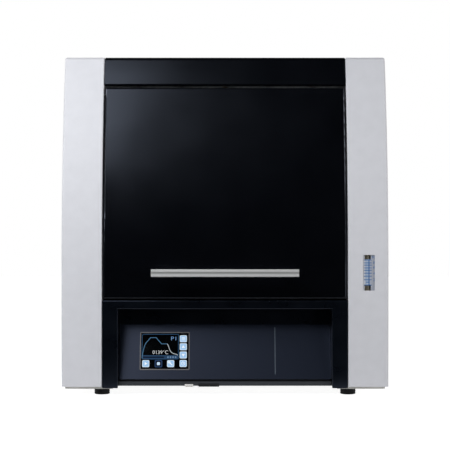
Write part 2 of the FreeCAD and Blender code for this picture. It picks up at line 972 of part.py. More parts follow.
def make_display_frame():
    """The thin raised frame round the display glass."""
    edge = screen_frame_width
    half_x = screen_width / 2.0 + edge
    half_z = screen_height / 2.0 + edge
    x0 = screen_centre_x - half_x
    x1 = screen_centre_x + half_x
    z0 = screen_centre_rise - half_z
    z1 = screen_centre_rise + half_z
    ring = slab_window(x0, x1, -screen_frame_proud - past, 0, z0, z1, screen_frame_corner)
    ring = ring.cut(block(x0 - past, x1 + past, -2 * past - screen_frame_proud, -screen_frame_proud, z0, z1))
    return on_panel(ring.cut(screen_block(0, -2 * past, past)))


def screen_block(margin, y0, y1):
    """A block as large as the display glass and a margin, from y0 to y1 behind the panel's face."""
    half_x = screen_width / 2.0 + margin
    half_z = screen_height / 2.0 + margin
    return block(
        screen_centre_x - half_x, screen_centre_x + half_x, y0, y1,
        screen_centre_rise - half_z, screen_centre_rise + half_z)


def make_display_screen():
    return on_panel(screen_block(0, 0, screen_thickness))


def make_display_board():
    """The lit module behind the glass and the circuit board it is soldered to."""
    y0 = panel_thickness
    y1 = y0 + backlight_depth
    module = screen_block(0, screen_thickness, y0)
    lamp = screen_block(backlight_margin, y0, y1)
    board = screen_block(screen_board_margin, y1, y1 + board_thickness)
    return on_panel(fused([module, lamp, board]))


def make_front_sill():
    """A folded channel whose front edge closes the recess below the panel."""
    half = recess_half_width - panel_fit
    y0 = front + panel_bottom_depth
    y1 = front + base_notch_depth + sill_overlap
    t = sill_sheet
    z0 = base_top
    outline = [
        (y0, z0), (y1, z0), (y1, z0 + t), (y0 + t, z0 + t), (y0 + t, sill_top - t),
        (y0 + sill_lip, sill_top - t), (y0 + sill_lip, sill_top), (y0, sill_top),
    ]
    sill = side_profile(outline, -half, half)
    y2 = front + usb_setback
    cutters = []
    holes = ((usb_centre_x, usb_width / 2.0), (port_centre_x, port_width / 2.0 - port_flange))
    for centre_x, half_hole in holes:
        reach = half_hole + panel_fit
        cutters.append(block(
            centre_x - reach, centre_x + reach, y2 - panel_fit, y2 + usb_depth + panel_fit,
            z0 - past, z0 + t + past))
    return without(sill, cutters)


def make_usb_socket():
    """A metal-shelled socket that opens downwards through the sill."""
    half = usb_width / 2.0
    y0 = front + usb_setback
    y1 = y0 + usb_depth
    z0 = base_top - usb_drop
    z1 = z0 + usb_height
    w = usb_wall
    x0 = usb_centre_x - half
    x1 = usb_centre_x + half
    roof = z1 - usb_roof
    shell = block(x0, x1, y0, y1, z0, z1)
    cavity = block(x0 + w, x1 - w, y0 + w, y1 - w, z0 - past, roof)
    tongue_y = y0 + w + usb_tongue_gap
    tongue_gap = w + usb_tongue_gap
    tongue = block(x0 + tongue_gap, x1 - tongue_gap, tongue_y, tongue_y + usb_tongue, z0 + w, roof)
    return fused([shell.cut(cavity), tongue])


def make_port_plug():
    """A rubber plug that closes the service port beside the socket."""
    y0 = front + usb_setback
    y1 = y0 + usb_depth
    half = port_width / 2.0
    low = base_top - usb_drop
    flange = block(port_centre_x - half, port_centre_x + half, y0 - port_lip, y1 + port_lip, low, base_top)
    flange = rounded(flange, port_lip, lambda box: same(box.ZMax, low))
    half_neck = half - port_flange
    neck = block(
        port_centre_x - half_neck, port_centre_x + half_neck, y0, y1, base_top, base_top + port_neck)
    return fused([flange, neck])


# Door

def make_door_skin():
    """The curved door pan: its sheet, returned at the top, the bottom and both sides."""
    rear = liner_back - door_sheet
    half = door_half_width
    limit = rear - past
    t = door_sheet
    outer = skin_block(-half, half, 0, door_bottom, door_top, rear)
    outer = rounded(outer, door_rounding, lambda box: _on_door_front(box, half, limit))
    inner = skin_block(-half + t, half - t, t, door_bottom + t, door_top - t, rear + past)
    inner = rounded(inner, door_rounding - t, lambda box: _on_door_front(box, half - t, limit))
    radius = hinge_pin_radius + fixed_gap
    pin_hole = rod(radius, 2 * (half + past), V(-half - past, hinge_y, hinge_z), X_AXIS)
    return without(outer, [inner, pin_hole])


def _on_door_front(box, half, limit):
    if box.YMax > limit:
        return False
    side = box.ZLength > shortest_edge and (same(box.XMin, half) or same(box.XMax, -half))
    level = box.XLength > shortest_edge and box.ZLength < same_place
    return side or level and not same(box.ZMin, skin_bend_height)


def make_door_liner():
    """The flat inner sheet of the door, with a stiffening bead above and below the plug."""
    half = door_half_width
    sheet = block(-half, half, liner_back - door_sheet, liner_back, door_bottom, door_top)
    half_bead = liner_bead_width / 2.0
    x1 = half - liner_bead_inset
    y0 = liner_back - liner_bead_depth
    seal_reach = gasket_margin + gasket_width
    low_z = (door_bottom + mouth_bottom - seal_reach) / 2.0
    high_z = (hinge_z + mouth_top + seal_reach) / 2.0
    beads = []
    for z in (low_z, high_z):
        beads.append(block(-x1, x1, y0, liner_back + past, z - half_bead, z + half_bead))
    return without(sheet, beads)


def mouth_section(y, clearance):
    """The corners of the tapered mouth at one Y, moved inwards by the clearance."""
    share = (y - hot_front) / (chamber_front - hot_front)
    half = mouth_half_width + share * (chamber_half_width - mouth_half_width) - clearance
    low = mouth_bottom + share * (chamber_floor - mouth_bottom) + clearance
    high = mouth_top + share * (chamber_roof - mouth_top) - clearance
    points = [V(-half, y, low), V(half, y, low), V(half, y, high), V(-half, y, high), V(-half, y, low)]
    return Part.makePolygon(points)


def mouth_wedge(y0, y1, clearance):
    return Part.makeLoft([mouth_section(y0, clearance), mouth_section(y1, clearance)], True, True)


def make_door_plug():
    """The fibre plug that fills the mouth, tapered so that it swings clear."""
    return mouth_wedge(liner_back, chamber_front - plug_end_gap, plug_clearance)


def make_door_gasket():
    """The flat rope seal round the plug."""
    inner_x = mouth_half_width + gasket_margin
    low = mouth_bottom - gasket_margin
    high = mouth_top + gasket_margin
    w = gasket_width
    y1 = liner_back + gasket_thickness
    outer = slab_window(-inner_x - w, inner_x + w, liner_back, y1, low - w, high + w, w)
    inner = block(-inner_x, inner_x, liner_back - past, y1 + past, low, high)
    return outer.cut(inner)


def make_door_handle():
    """An extruded bar with a groove along its front face."""
    half = handle_length / 2.0
    y0 = front - handle_reach
    z0 = handle_centre_height - handle_height / 2.0
    bar = block(-half, half, y0, y0 + handle_thickness, z0, z0 + handle_height)
    bar = rounded(bar, handle_rounding, lambda box: box.XLength > shortest_edge)
    half_groove = handle_groove / 2.0
    z = handle_centre_height
    groove = block(
        -half - past, half + past, y0 - past, y0 + handle_groove_depth, z - half_groove, z + half_groove)
    return bar.cut(groove)


def make_handle_posts():
    length = handle_reach - handle_thickness
    posts = []
    for x in (-post_x, post_x):
        posts.append(rod(post_radius, length, V(x, front - length, handle_centre_height), Y_AXIS))
    return Part.makeCompound(posts)


def make_hinge_pins():
    """Headed pins that stand out of the door's sides into the bushes."""
    inner = door_half_width - door_sheet
    end = plate_outer_x + hinge_bracket_thickness
    head_base = V(inner - hinge_head_thickness, hinge_y, hinge_z)
    head = rod(hinge_head_radius, hinge_head_thickness, head_base, X_AXIS)
    shank = rod(hinge_pin_radius, end - inner, V(inner, hinge_y, hinge_z), X_AXIS)
    return Part.makeCompound(both_sides(fused([head, shank])))


def make_hinge_bushes():
    length = hinge_bracket_thickness + frame_sheet
    base = V(plate_inner_x, hinge_y, hinge_z)
    bush = rod(hinge_bush_radius, length, base, X_AXIS)
    bush = bush.cut(rod(hinge_pin_radius + running_gap, length, base, X_AXIS))
    return Part.makeCompound(both_sides(bush))


def make_hinge_brackets():
    """Blocks on the frame plates that hold the bushes and brake the door."""
    z0 = hinge_z - hinge_bracket_height / 2.0
    z1 = z0 + hinge_bracket_height
    y0 = skin_y(cover_sheet + seat_gap, z1)
    x0 = plate_outer_x
    x1 = x0 + hinge_bracket_thickness
    bracket = block(x0, x1, y0, y0 + hinge_bracket_width, z0, z1)
    bore = rod(hinge_bush_radius + fixed_gap, hinge_bracket_thickness, V(x0, hinge_y, hinge_z), X_AXIS)
    return Part.makeCompound(both_sides(bracket.cut(bore)))


# Hot box

def shank_places():
    """The X and the two Y of the upright legs of every heating element."""
    places = []
    for x in (-element_x, element_x):
        for row in (-0.5, 0.5):
            y = chamber_middle_y + row * element_pitch
            places.append((x, y - element_half_spacing, y + element_half_spacing))
    return places


def shank_holes(low, high):
    holes = []
    for x, y0, y1 in shank_places():
        for y in (y0, y1):
            holes.append(rod(element_hole_radius, high - low, V(x, y, low), Z_AXIS))
    return holes


def probe_holes(y0, y1):
    lance = rod(lance_radius + probe_hole_gap, y1 - y0, V(lance_x, y0, lance_height), Y_AXIS)
    probe = rod(probe_radius + probe_hole_gap, y1 - y0, V(0, y0, probe_height), Y_AXIS)
    return [lance, probe]


def exhaust_hole(low, high):
    return rod(exhaust_outer_radius + probe_hole_gap, high - low, V(0, exhaust_y, low), Z_AXIS)


def make_hot_box_casing():
    half = hot_box_half_width
    t = hot_box_sheet
    outer = rounded_block(-half, half, hot_front, hot_back, deck_top, hot_box_top, hot_box_corner)
    inner = block(-half + t, half - t, hot_front + t, hot_back - t, deck_top + t, hot_box_top - t)
    gap = mouth_trim_gap
    half_mouth = mouth_half_width + gap
    mouth = block(
        -half_mouth, half_mouth, hot_front - past, hot_front + t + past, mouth_bottom - gap, mouth_top + gap)
    low = hot_box_top - t - past
    high = hot_box_top + past
    cutters = [inner, mouth, exhaust_hole(low, high)]
    cutters += shank_holes(low, high)
    cutters += probe_holes(hot_back - t - past, hot_back + past)
    return without(outer, cutters)


def make_mouth_ring():
    half = hot_box_half_width - hot_box_sheet
    low = deck_top + hot_box_sheet
    high = hot_box_top - hot_box_sheet
    ring = block(-half, half, ring_front, chamber_front, low, high)
    return ring.cut(mouth_wedge(ring_front - past, chamber_front + past, 0))


def make_floor_insulation():
    half = hot_box_half_width - hot_box_sheet
    rear = hot_back - hot_box_sheet
    return block(-half, half, chamber_front, rear, deck_top + hot_box_sheet, chamber_floor)


def make_roof_insulation():
    half = hot_box_half_width - hot_box_sheet
    rear = hot_back - hot_box_sheet
    high = hot_box_top - hot_box_sheet
    roof = block(-half, half, chamber_front, rear, chamber_roof, high)
    cutters = shank_holes(chamber_roof - past, high + past)
    cutters.append(exhaust_hole(chamber_roof - past, high + past))
    return without(roof, cutters)


def make_side_insulation():
    outer = hot_box_half_width - hot_box_sheet
    left = block(-outer, -chamber_half_width, chamber_front, chamber_back, chamber_floor, chamber_roof)
    return Part.makeCompound(both_sides(left))


def make_back_insulation():
    half = hot_box_half_width - hot_box_sheet
    rear = hot_back - hot_box_sheet
    wall = block(-half, half, chamber_back, rear, chamber_floor, chamber_roof)
    return without(wall, probe_holes(chamber_back - past, rear + past))


def make_heating_elements():
    """Four hairpins whose thick grips pass through the roof."""
    bend_height = chamber_floor + element_bottom_clearance + element_half_spacing
    grip_start = chamber_roof + grip_start_rise
    grip_low = grip_start + grip_cone
    elements = []
    for x, y0, y1 in shank_places():
        start = V(x, y0, grip_start)
        left = V(x, y0, bend_height)
        lowest = V(x, (y0 + y1) / 2.0, bend_height - element_half_spacing)
        right = V(x, y1, bend_height)
        end = V(x, y1, grip_start)
        path = Part.Wire([
            Part.LineSegment(start, left).toShape(),
            Part.Arc(left, lowest, right).toShape(),
            Part.LineSegment(right, end).toShape(),
        ])
        circle = Part.Wire(Part.makeCircle(element_radius, start, Z_AXIS))
        pieces = [path.makePipeShell([circle], True, False)]
        for y in (y0, y1):
            pieces.append(Part.makeCone(element_radius, grip_radius, grip_cone, V(x, y, grip_start), Z_AXIS))
            pieces.append(rod(grip_radius, grip_top - grip_low, V(x, y, grip_low), Z_AXIS))
        elements.append(fused(pieces))
    return Part.makeCompound(elements)


def make_element_holders():
    """Ceramic blocks on the casing that the grips hang in."""
    margin = holder_margin
    z0 = hot_box_top
    z1 = z0 + holder_height
    holders = []
    for x, y0, y1 in shank_places():
        body = block(x - margin, x + margin, y0 - margin, y1 + margin, z0, z1)
        holes = [rod(grip_radius + holder_gap, holder_height, V(x, y, z0), Z_AXIS) for y in (y0, y1)]
        holders.append(without(body, holes))
    return Part.makeCompound(holders)


def make_element_clamps():
    """Split clamps on the ends of the grips."""
    half = clamp_size / 2.0
    half_slit = clamp_slit / 2.0
    z0 = grip_top - clamp_height
    clamps = []
    for x, y0, y1 in shank_places():
        outward = 1 if x > 0 else -1
        x_end = x + outward * (half + past)
        for y in (y0, y1):
            body = block(x - half, x + half, y - half, y + half, z0, grip_top)
            bore = rod(grip_radius + fixed_gap, clamp_height, V(x, y, z0), Z_AXIS)
            slit = block(
                min(x, x_end), max(x, x_end), y - half_slit, y + half_slit, z0 - past, grip_top + past)
            clamps.append(without(body, [bore, slit]))
    return Part.makeCompound(clamps)


def make_element_straps():
    """Bars that join the elements in one loop, laid on the clamps."""
    half = strap_width / 2.0
    z0 = grip_top
    z1 = z0 + strap_thickness
    overhang = half
    inner = element_pitch / 2.0 - element_half_spacing
    rear_y = chamber_middle_y + element_pitch / 2.0 + element_half_spacing
    y0 = chamber_middle_y - inner - overhang
    y1 = chamber_middle_y + inner + overhang
    straps = []
    for x in (-element_x, element_x):
        straps.append(block(x - half, x + half, y0, y1, z0, z1))
    x1 = element_x + overhang
    straps.append(block(-x1, x1, rear_y - half, rear_y + half, z0, z1))
    return Part.makeCompound(straps)


def make_power_leads():
    """The two thick leads from the first clamps to the terminals behind the hot box."""
    y0 = chamber_middle_y - element_pitch / 2.0 - element_half_spacing
    z = grip_top - clamp_height / 2.0
    side_x = terminal_x + lead_side_step
    points = [
        V(element_x + clamp_size / 2.0, y0, z),
        V(side_x, y0, z),
        V(side_x, y0 + lead_forward_run, z),
        V(terminal_x, lead_y, z),
        V(terminal_x, lead_y, base_top + terminal_height),
    ]
    return Part.makeCompound(both_sides(tube_along(points, lead_bend, lead_radius)))


def make_hearth_plate():
    half = hearth_half_width
    y0 = chamber_front + hearth_end_gap
    y1 = chamber_back - hearth_end_gap
    z1 = chamber_floor + hearth_thickness
    return rounded_block(-half, half, y0, y1, chamber_floor, z1, hearth_corner)


def make_exhaust_pipe():
    base = V(0, exhaust_y, chamber_roof)
    length = housing_top - chamber_roof
    pipe = rod(exhaust_outer_radius, length, base, Z_AXIS)
    return pipe.cut(rod(exhaust_inner_radius, length, base, Z_AXIS))


def make_gas_lance():
    """A tube through the rear insulation with an elbow block for the hose."""
    half = lance_elbow / 2.0
    y0 = chamber_back - lance_tip_reach
    y1 = lance_hose_y - half
    z = lance_height
    tube = rod(lance_radius, y1 - y0, V(lance_x, y0, z), Y_AXIS)
    elbow = block(lance_x - half, lance_x + half, y1, y1 + lance_elbow, z - half, z + half)
    body = fused([tube, elbow])
    bore = rod(lance_bore_radius, lance_hose_y - y0, V(lance_x, y0, z), Y_AXIS)
    side = rod(hose_bore_radius, half + past, V(lance_x, lance_hose_y, z), X_AXIS)
    return without(body, [bore, side])


def make_thermocouple():
    """A ceramic sheath into the chamber, with its connection head behind the casing."""
    y0 = chamber_back - probe_tip_reach
    sheath = rod(probe_radius, hot_back - y0, V(0, y0, probe_height), Y_AXIS)
    r = probe_head_radius
    end = probe_head_length
    bevel = probe_head_chamfer
    outline = [(0, 0), (r, 0), (r, end - bevel), (r - bevel, end), (0, end)]
    head = turned_profile(outline, V(0, hot_back, probe_height), Y_AXIS)
    return fused([sheath, head])


# Flow meter and gas line

def meter_rod(radius, low, high):
    """An upright rod on the axis of the flow meter's bore."""
    return rod(radius, high - low, V(meter_bore_x, meter_axis_y, low), Z_AXIS)


def make_flowmeter_body():
    """A clear block with an upright bore for the float and a port at each end."""
    x0 = window_centre_x - meter_width / 2.0
    body = block(x0, x0 + meter_width, meter_front, meter_back, meter_bottom, meter_top)
    body = rounded(body, meter_corner, upright_edges)
    port_radius = stem_radius + stem_fit
    cutters = [
        meter_rod(meter_bore_radius, low_stem_top, high_stem_bottom),
        meter_rod(port_radius, meter_bottom, low_stem_top),
        meter_rod(port_radius, high_stem_bottom, meter_top),
    ]
    for z in (barb_low, barb_high):
        cutters.append(rod(barb_radius + stem_fit, meter_depth, V(meter_bore_x, meter_axis_y, z), Y_AXIS))
    return without(body, cutters)


def make_flowmeter_fittings():
    """The stem and barb of each port."""
    reach = meter_back + bracket_sheet + barb_reach - meter_axis_y
    stems = (
        (meter_bottom + stem_end_inset, low_stem_top, barb_low),
        (high_stem_bottom, meter_top - stem_end_inset, barb_high),
    )
    fittings = []
    for low, high, port in stems:
        barb = rod(barb_radius, reach, V(meter_bore_x, meter_axis_y, port), Y_AXIS)
        fittings.append(fused([meter_rod(stem_radius, low, high), barb]))
    return Part.makeCompound(fittings)


def make_flowmeter_bracket():
    """An angle on the frame plate that holds the block behind the window."""
    t = bracket_sheet
    x0 = plate_outer_x
    x1 = window_centre_x + meter_width / 2.0
    web = block(x0, x1, meter_back, meter_back + t, meter_bottom, meter_top)
    flange = block(x0, x0 + t, meter_back, meter_back + bracket_flange, meter_bottom, meter_top)
    holes = []
    for z in (barb_low, barb_high):
        holes.append(rod(barb_radius + panel_fit, t, V(meter_bore_x, meter_back, z), Y_AXIS))
    return without(fused([web, flange]), holes)


def make_flowmeter_float():
    return Part.makeSphere(float_radius, V(meter_bore_x, meter_axis_y, low_stem_top + float_radius))


def make_solenoid_valve():
    """The gas valve: a body on the frame plate with its coil on top."""
    half = valve_size / 2.0
    x = meter_bore_x
    y0 = front + valve_setback
    y1 = y0 + valve_length
    z0 = barb_low - valve_half_height
    z1 = barb_low + valve_half_height
    coil_low = z1 + valve_stem_length
    half_coil = half - coil_inset
    body = block(plate_outer_x, x + half, y0, y1, z0, z1)
    stem = rod(valve_stem_radius, valve_stem_length, V(x, (y0 + y1) / 2.0, z1), Z_AXIS)
    coil = rounded_block(
        x - half_coil, x + half_coil, y0 + coil_end_gap, y1 - coil_end_gap,
        coil_low, coil_low + coil_height, coil_corner)
    return fused([body, stem, coil])


def make_gas_inlet():
    """The push-in bulkhead fitting on the rear panel, with its nut inside."""
    x = meter_bore_x
    z = barb_low
    r = inlet_body_radius
    collar = rear_reach - inlet_collar_length
    outer = turned_profile(
        [(0, 0), (r, 0), (r, collar), (r - inlet_collar_step, collar),
         (r - inlet_collar_step, rear_reach), (0, rear_reach)],
        V(x, back, z), Y_AXIS)
    thread = rod(inlet_thread_radius, inlet_thread_length, V(x, back - inlet_thread_length, z), Y_AXIS)
    corners = []
    for index in range(7):
        angle = index * pi / 3
        corners.append(V(x + inlet_nut_radius * cos(angle), rear_face, z + inlet_nut_radius * sin(angle)))
    nut = Part.Face(Part.makePolygon(corners)).extrude(V(0, -inlet_nut_thickness, 0))
    body = fused([outer, thread, nut])
    end = back + rear_reach
    bore = rod(inlet_bore_radius, inlet_bore_length, V(x, end - inlet_bore_length, z), Y_AXIS)
    start = back - inlet_thread_length - past
    passage = rod(hose_bore_radius, end - start, V(x, start, z), Y_AXIS)
    return without(body, [bore, passage])


def make_gas_hoses():
    """Hose from the inlet to the valve, on to the meter and from there to the lance."""
    x = meter_bore_x
    barb_end = meter_back + bracket_sheet + barb_reach
    valve_front = front + valve_setback
    valve_rear = valve_front + valve_length
    inlet_end = back - inlet_thread_length
    hoses = []
    for start, end in ((valve_rear, inlet_end), (barb_end, valve_front)):
        hose = rod(hose_radius, end - start, V(x, start, barb_low), Y_AXIS)
        hoses.append(hose.cut(rod(hose_bore_radius, end - start, V(x, start, barb_low), Y_AXIS)))
    points = [
        V(x, barb_end, barb_high),
        V(x, lance_hose_y - hose_climb, barb_high),
        V(x, lance_hose_y, lance_height),
        V(lance_x + lance_elbow / 2.0, lance_hose_y, lance_height),
    ]
    hoses.append(tube_along(points, hose_bend, hose_radius, hose_bore_radius))
    return Part.makeCompound(hoses)


# Electrics

def make_fan_housing():
    """A square fan frame with its motor held by four arms on the inner side."""
    centre = fan_centre()
    half = fan_size / 2.0
    y1 = rear_face
    y0 = y1 - fan_thickness
    base = V(0, y0, centre.z)
    frame = slab_window(-half, half, y0, y1, centre.z - half, centre.z + half, fan_corner)
    frame = frame.cut(rod(fan_bore_radius, fan_thickness, base, Y_AXIS))
    motor = rod(fan_hub_radius, fan_arm_thickness, base, Y_AXIS)
    axle = rod(fan_axle_radius, fan_axle_length, base, Y_AXIS)
    half_arm = fan_arm_width / 2.0
    arms = []
    for index in range(4):
        arm = block(
            fan_hub_radius / 2.0, fan_bore_radius + past, y0, y0 + fan_arm_thickness,
            centre.z - half_arm, centre.z + half_arm)
        arm.rotate(base, Y_AXIS, 45 + index * 90)
        arms.append(arm)
    return fused([frame, motor, axle] + arms)


def make_fan_rotor():
    """The hub and its pitched blades, which widen from root to tip."""
    centre = fan_centre()
    gap = fan_end_gap
    y0 = rear_face - fan_thickness + fan_arm_thickness + running_gap * 2
    length = rear_face - gap - y0
    base = V(0, y0, centre.z)
    hub = rod(fan_hub_radius, length, base, Y_AXIS)
    axle_end = rear_face - fan_thickness + fan_axle_length + fan_axle_end_gap
    hub = hub.cut(rod(fan_axle_radius + running_gap, axle_end - y0, base, Y_AXIS))
    tip = fan_bore_radius - fan_tip_gap
    root = fan_hub_radius / 2.0
    half_root = fan_blade_root / 2.0
    half_tip = fan_blade_chord / 2.0
    middle_y = y0 + length / 2.0
    blades = []
    for index in range(fan_blade_count):
        corners = [V(-half_root, 0, root), V(half_root, 0, root), V(half_tip, 0, tip), V(-half_tip, 0, tip)]
        blade = Part.Face(Part.makePolygon(corners + corners[:1])).extrude(V(0, fan_blade_thickness, 0))
        blade.rotate(V(0, 0, 0), Z_AXIS, fan_blade_pitch)
        blade.translate(V(0, middle_y, centre.z))
        blade.rotate(V(0, middle_y, centre.z), Y_AXIS, index * 360.0 / fan_blade_count)
        blades.append(blade)
    envelope = rod(tip, length, base, Y_AXIS)
    envelope = envelope.cut(rod(root, length, base, Y_AXIS))
    return fused([hub] + [blade.common(envelope) for blade in blades])


def make_fan_guard():
    """A finger guard of flat rings and two bars on the rear panel."""
    centre = fan_centre()
    base = V(0, back, centre.z)
    t = guard_thickness
    half = guard_bar_length / 2.0
    half_bar = guard_bar_width / 2.0
    pieces = []
    for index in range(guard_ring_count):
        outer = fan_bore_radius * (index + 1) / guard_ring_count
        ring = rod(outer, t, base, Y_AXIS)
        pieces.append(ring.cut(rod(outer - guard_ring_width, t, base, Y_AXIS)))
    for index in range(2):
        bar = block(-half, half, back, back + t, centre.z - half_bar, centre.z + half_bar)
        bar.rotate(base, Y_AXIS, 45 + 90 * index)
        pieces.append(bar)
    return fused(pieces)


def make_mains_inlet():
    """The rear inlet block: a three-pin socket below the opening for the rocker."""
    x = inlet_x
    z = inlet_height
    half_x = inlet_width / 2.0
    half_z = inlet_plate_height / 2.0
    inner_x = half_x - inlet_flange
    inner_z = half_z - inlet_flange
    face = back + inlet_plate
    plate = slab_window(x - half_x, x + half_x, back, face, z - half_z, z + half_z, inlet_corner)
    body = block(x - inner_x, x + inner_x, back - inlet_body_depth, back, z - inner_z, z + inner_z)
    socket_z = z - half_z + inlet_rim + socket_height / 2.0
    y0 = face - socket_depth
    socket = slab_window(
        x - socket_width / 2.0, x + socket_width / 2.0, y0, face + past,
        socket_z - socket_height / 2.0, socket_z + socket_height / 2.0, socket_corner)
    centre = rocker_centre()
    half_w = rocker_width / 2.0 + rocker_gap
    half_l = rocker_length / 2.0 + rocker_gap
    opening = block(
        x - half_w, x + half_w, centre.y - rocker_swing_depth, face + past,
        centre.z - half_l, centre.z + half_l)
    pieces = [without(fused([plate, body]), [socket, opening])]
    half_pin = pin_width / 2.0
    half_pin_z = pin_height / 2.0
    for dx, dz in ((-pin_spacing, -pin_drop), (0, pin_rise), (pin_spacing, -pin_drop)):
        middle = socket_z + dz
        pieces.append(block(
            x + dx - half_pin, x + dx + half_pin, y0, face - pin_setback,
            middle - half_pin_z, middle + half_pin_z))
    return fused(pieces)


def rocker_centre():
    """The pivot of the mains rocker, a little inside the plate."""
    z = inlet_height + inlet_plate_height / 2.0 - inlet_rim - past - rocker_length / 2.0
    return V(inlet_x, back + inlet_plate - rocker_pivot_depth, z)


def make_power_rocker():
    """A rocker whose two faces meet in a shallow V, at rest on one side."""
    centre = rocker_centre()
    y = centre.y
    z = centre.z
    half_x = rocker_width / 2.0
    half_z = rocker_length / 2.0 - rocker_end_gap
    face = back + inlet_plate
    half_rear = half_z - rocker_taper
    outline = [
        (y - rocker_body_depth, z - half_rear), (y - rocker_body_depth, z + half_rear),
        (y + rocker_body_depth / 2.0, z + half_z), (face + rocker_proud, z + half_z),
        (face - rocker_dip, z), (face + rocker_proud, z - half_z),
        (y + rocker_body_depth / 2.0, z - half_z),
    ]
    rocker = side_profile(outline, centre.x - half_x, centre.x + half_x)
    rocker.rotate(centre, X_AXIS, -rocker_tilt)
    return rocker


def make_transformer():
    """A toroidal transformer that stands on the base plate."""
    r = transformer_radius
    h = transformer_height
    core = transformer_core_radius
    bevel = transformer_chamfer
    y = rear_face - transformer_rear_gap - r
    outline = [(core, 0), (r - bevel, 0), (r, bevel), (r, h - bevel), (r - bevel, h), (core, h)]
    return turned_profile(outline, V(transformer_x, y, base_top))


def sink_rear():
    return rear_face - sink_rear_gap


def make_heat_sink():
    """A finned heat sink that stands on its fins."""
    half = sink_width / 2.0
    y1 = sink_rear()
    y0 = y1 - sink_depth
    z0 = base_top
    z1 = z0 + sink_fin_height
    pieces = [block(sink_x - half, sink_x + half, y0, y1, z1, z1 + sink_base)]
    pitch = (sink_width - sink_fin) / (sink_fin_count - 1)
    for index in range(sink_fin_count):
        x = sink_x - half + index * pitch
        pieces.append(block(x, x + sink_fin, y0, y1, z0, z1))
    return fused(pieces)


def make_power_module():
    """The heating controller on the heat sink, with its four screw terminals."""
    half_x = module_width / 2.0
    half_y = module_depth / 2.0
    z0 = base_top + sink_fin_height + sink_base
    z1 = z0 + module_height
    y = sink_rear() - sink_depth / 2.0
    pieces = [block(sink_x - half_x, sink_x + half_x, y - half_y, y + half_y, z0, z1)]
    reach_x = half_x - 2 * module_terminal_radius
    reach_y = half_y - 2 * module_terminal_radius
    for dx in (-reach_x, reach_x):
        for dy in (-reach_y, reach_y):
            base = V(sink_x + dx, y + dy, z1)
            pieces.append(rod(module_terminal_radius, module_terminal_height, base, Z_AXIS))
    return fused(pieces)


def make_control_board():
    """The circuit board with its relays, capacitors and connectors, on standoffs."""
    half_x = control_board_width / 2.0
    half_y = control_board_depth / 2.0
    x = control_board_x
    y = front + control_board_setback
    z = base_top + standoff_height
    top = z + board_thickness
    x0 = x - half_x
    y0 = y - half_y
    pieces = [block(x0, x + half_x, y0, y + half_y, z, top)]
    reach_x = half_x - standoff_inset
    reach_y = half_y - standoff_inset
    for dx in (-reach_x, reach_x):
        for dy in (-reach_y, reach_y):
            pieces.append(rod(standoff_radius, standoff_height, V(x + dx, y + dy, base_top), Z_AXIS))
    relay_y = y0 + relay_inset
    for index in range(relay_count):
        relay_x = x0 + relay_inset + index * relay_pitch
        pieces.append(block(
            relay_x, relay_x + relay_width, relay_y, relay_y + relay_depth, top, top + relay_height))
    capacitor_x = x + half_x - capacitor_inset
    for index in range(capacitor_count):
        base = V(capacitor_x - index * capacitor_pitch, y + capacitor_pitch, top)
        pieces.append(rod(capacitor_radius, capacitor_height, base, Z_AXIS))
    strip_x = x0 + plug_strip_inset
    strip_y = y + half_y - plug_strip_inset
    pieces.append(block(
        strip_x, strip_x + plug_strip_width, strip_y - plug_strip_length, strip_y,
        top, top + plug_strip_height))
    return fused(pieces)


def make_terminal_blocks():
    """The terminals that the power leads end on, each grooved beside the lead."""
    half_x = terminal_width / 2.0
    half_y = terminal_depth / 2.0
    top = base_top + terminal_height
    x0 = terminal_x - half_x
    body = block(x0, terminal_x + half_x, lead_y - half_y, lead_y + half_y, base_top, top)
    offset = half_x - 1.5 * terminal_groove
    grooves = []
    for x in (terminal_x - offset, terminal_x + offset):
        grooves.append(block(
            x - terminal_groove / 2.0, x + terminal_groove / 2.0,
            lead_y - half_y - past, lead_y + half_y + past, top - terminal_groove_depth, top + past))
    return Part.makeCompound(both_sides(without(body, grooves)))


# Fasteners

def screw(base, axis, radius):
    """The head of a pan-head screw, with a bevelled crown."""
    h = screw_head_height
    crown = radius * screw_crown_share
    return turned_profile([(0, 0), (radius, 0), (radius, h / 2.0), (crown, h), (0, h)], base, axis)


def make_cover_screws():
    """Screws under the base plate and on the rear panel."""
    screws = []
    down = V(0, 0, -1)
    screw_x = half_width - screw_side_inset
    for x in (-screw_x, screw_x):
        for y in (front + screw_end_inset, back - screw_end_inset):
            screws.append(screw(V(x, y, foot_height), down, screw_head_radius))
    small_x = base_notch_half_width + small_screw_inset
    for x in (-small_x, small_x):
        screws.append(screw(V(x, front + small_screw_setback, foot_height), down, small_screw_head_radius))
    edge = half_width - cover_sheet - panel_screw_inset
    heights = (
        base_top + panel_screw_end,
        (base_top + housing_top) / 2.0,
        housing_top - panel_screw_end,
    )
    for x in (-edge, edge):
        for z in heights:
            screws.append(screw(V(x, back, z), Y_AXIS, screw_head_radius))
    return Part.makeCompound(screws)


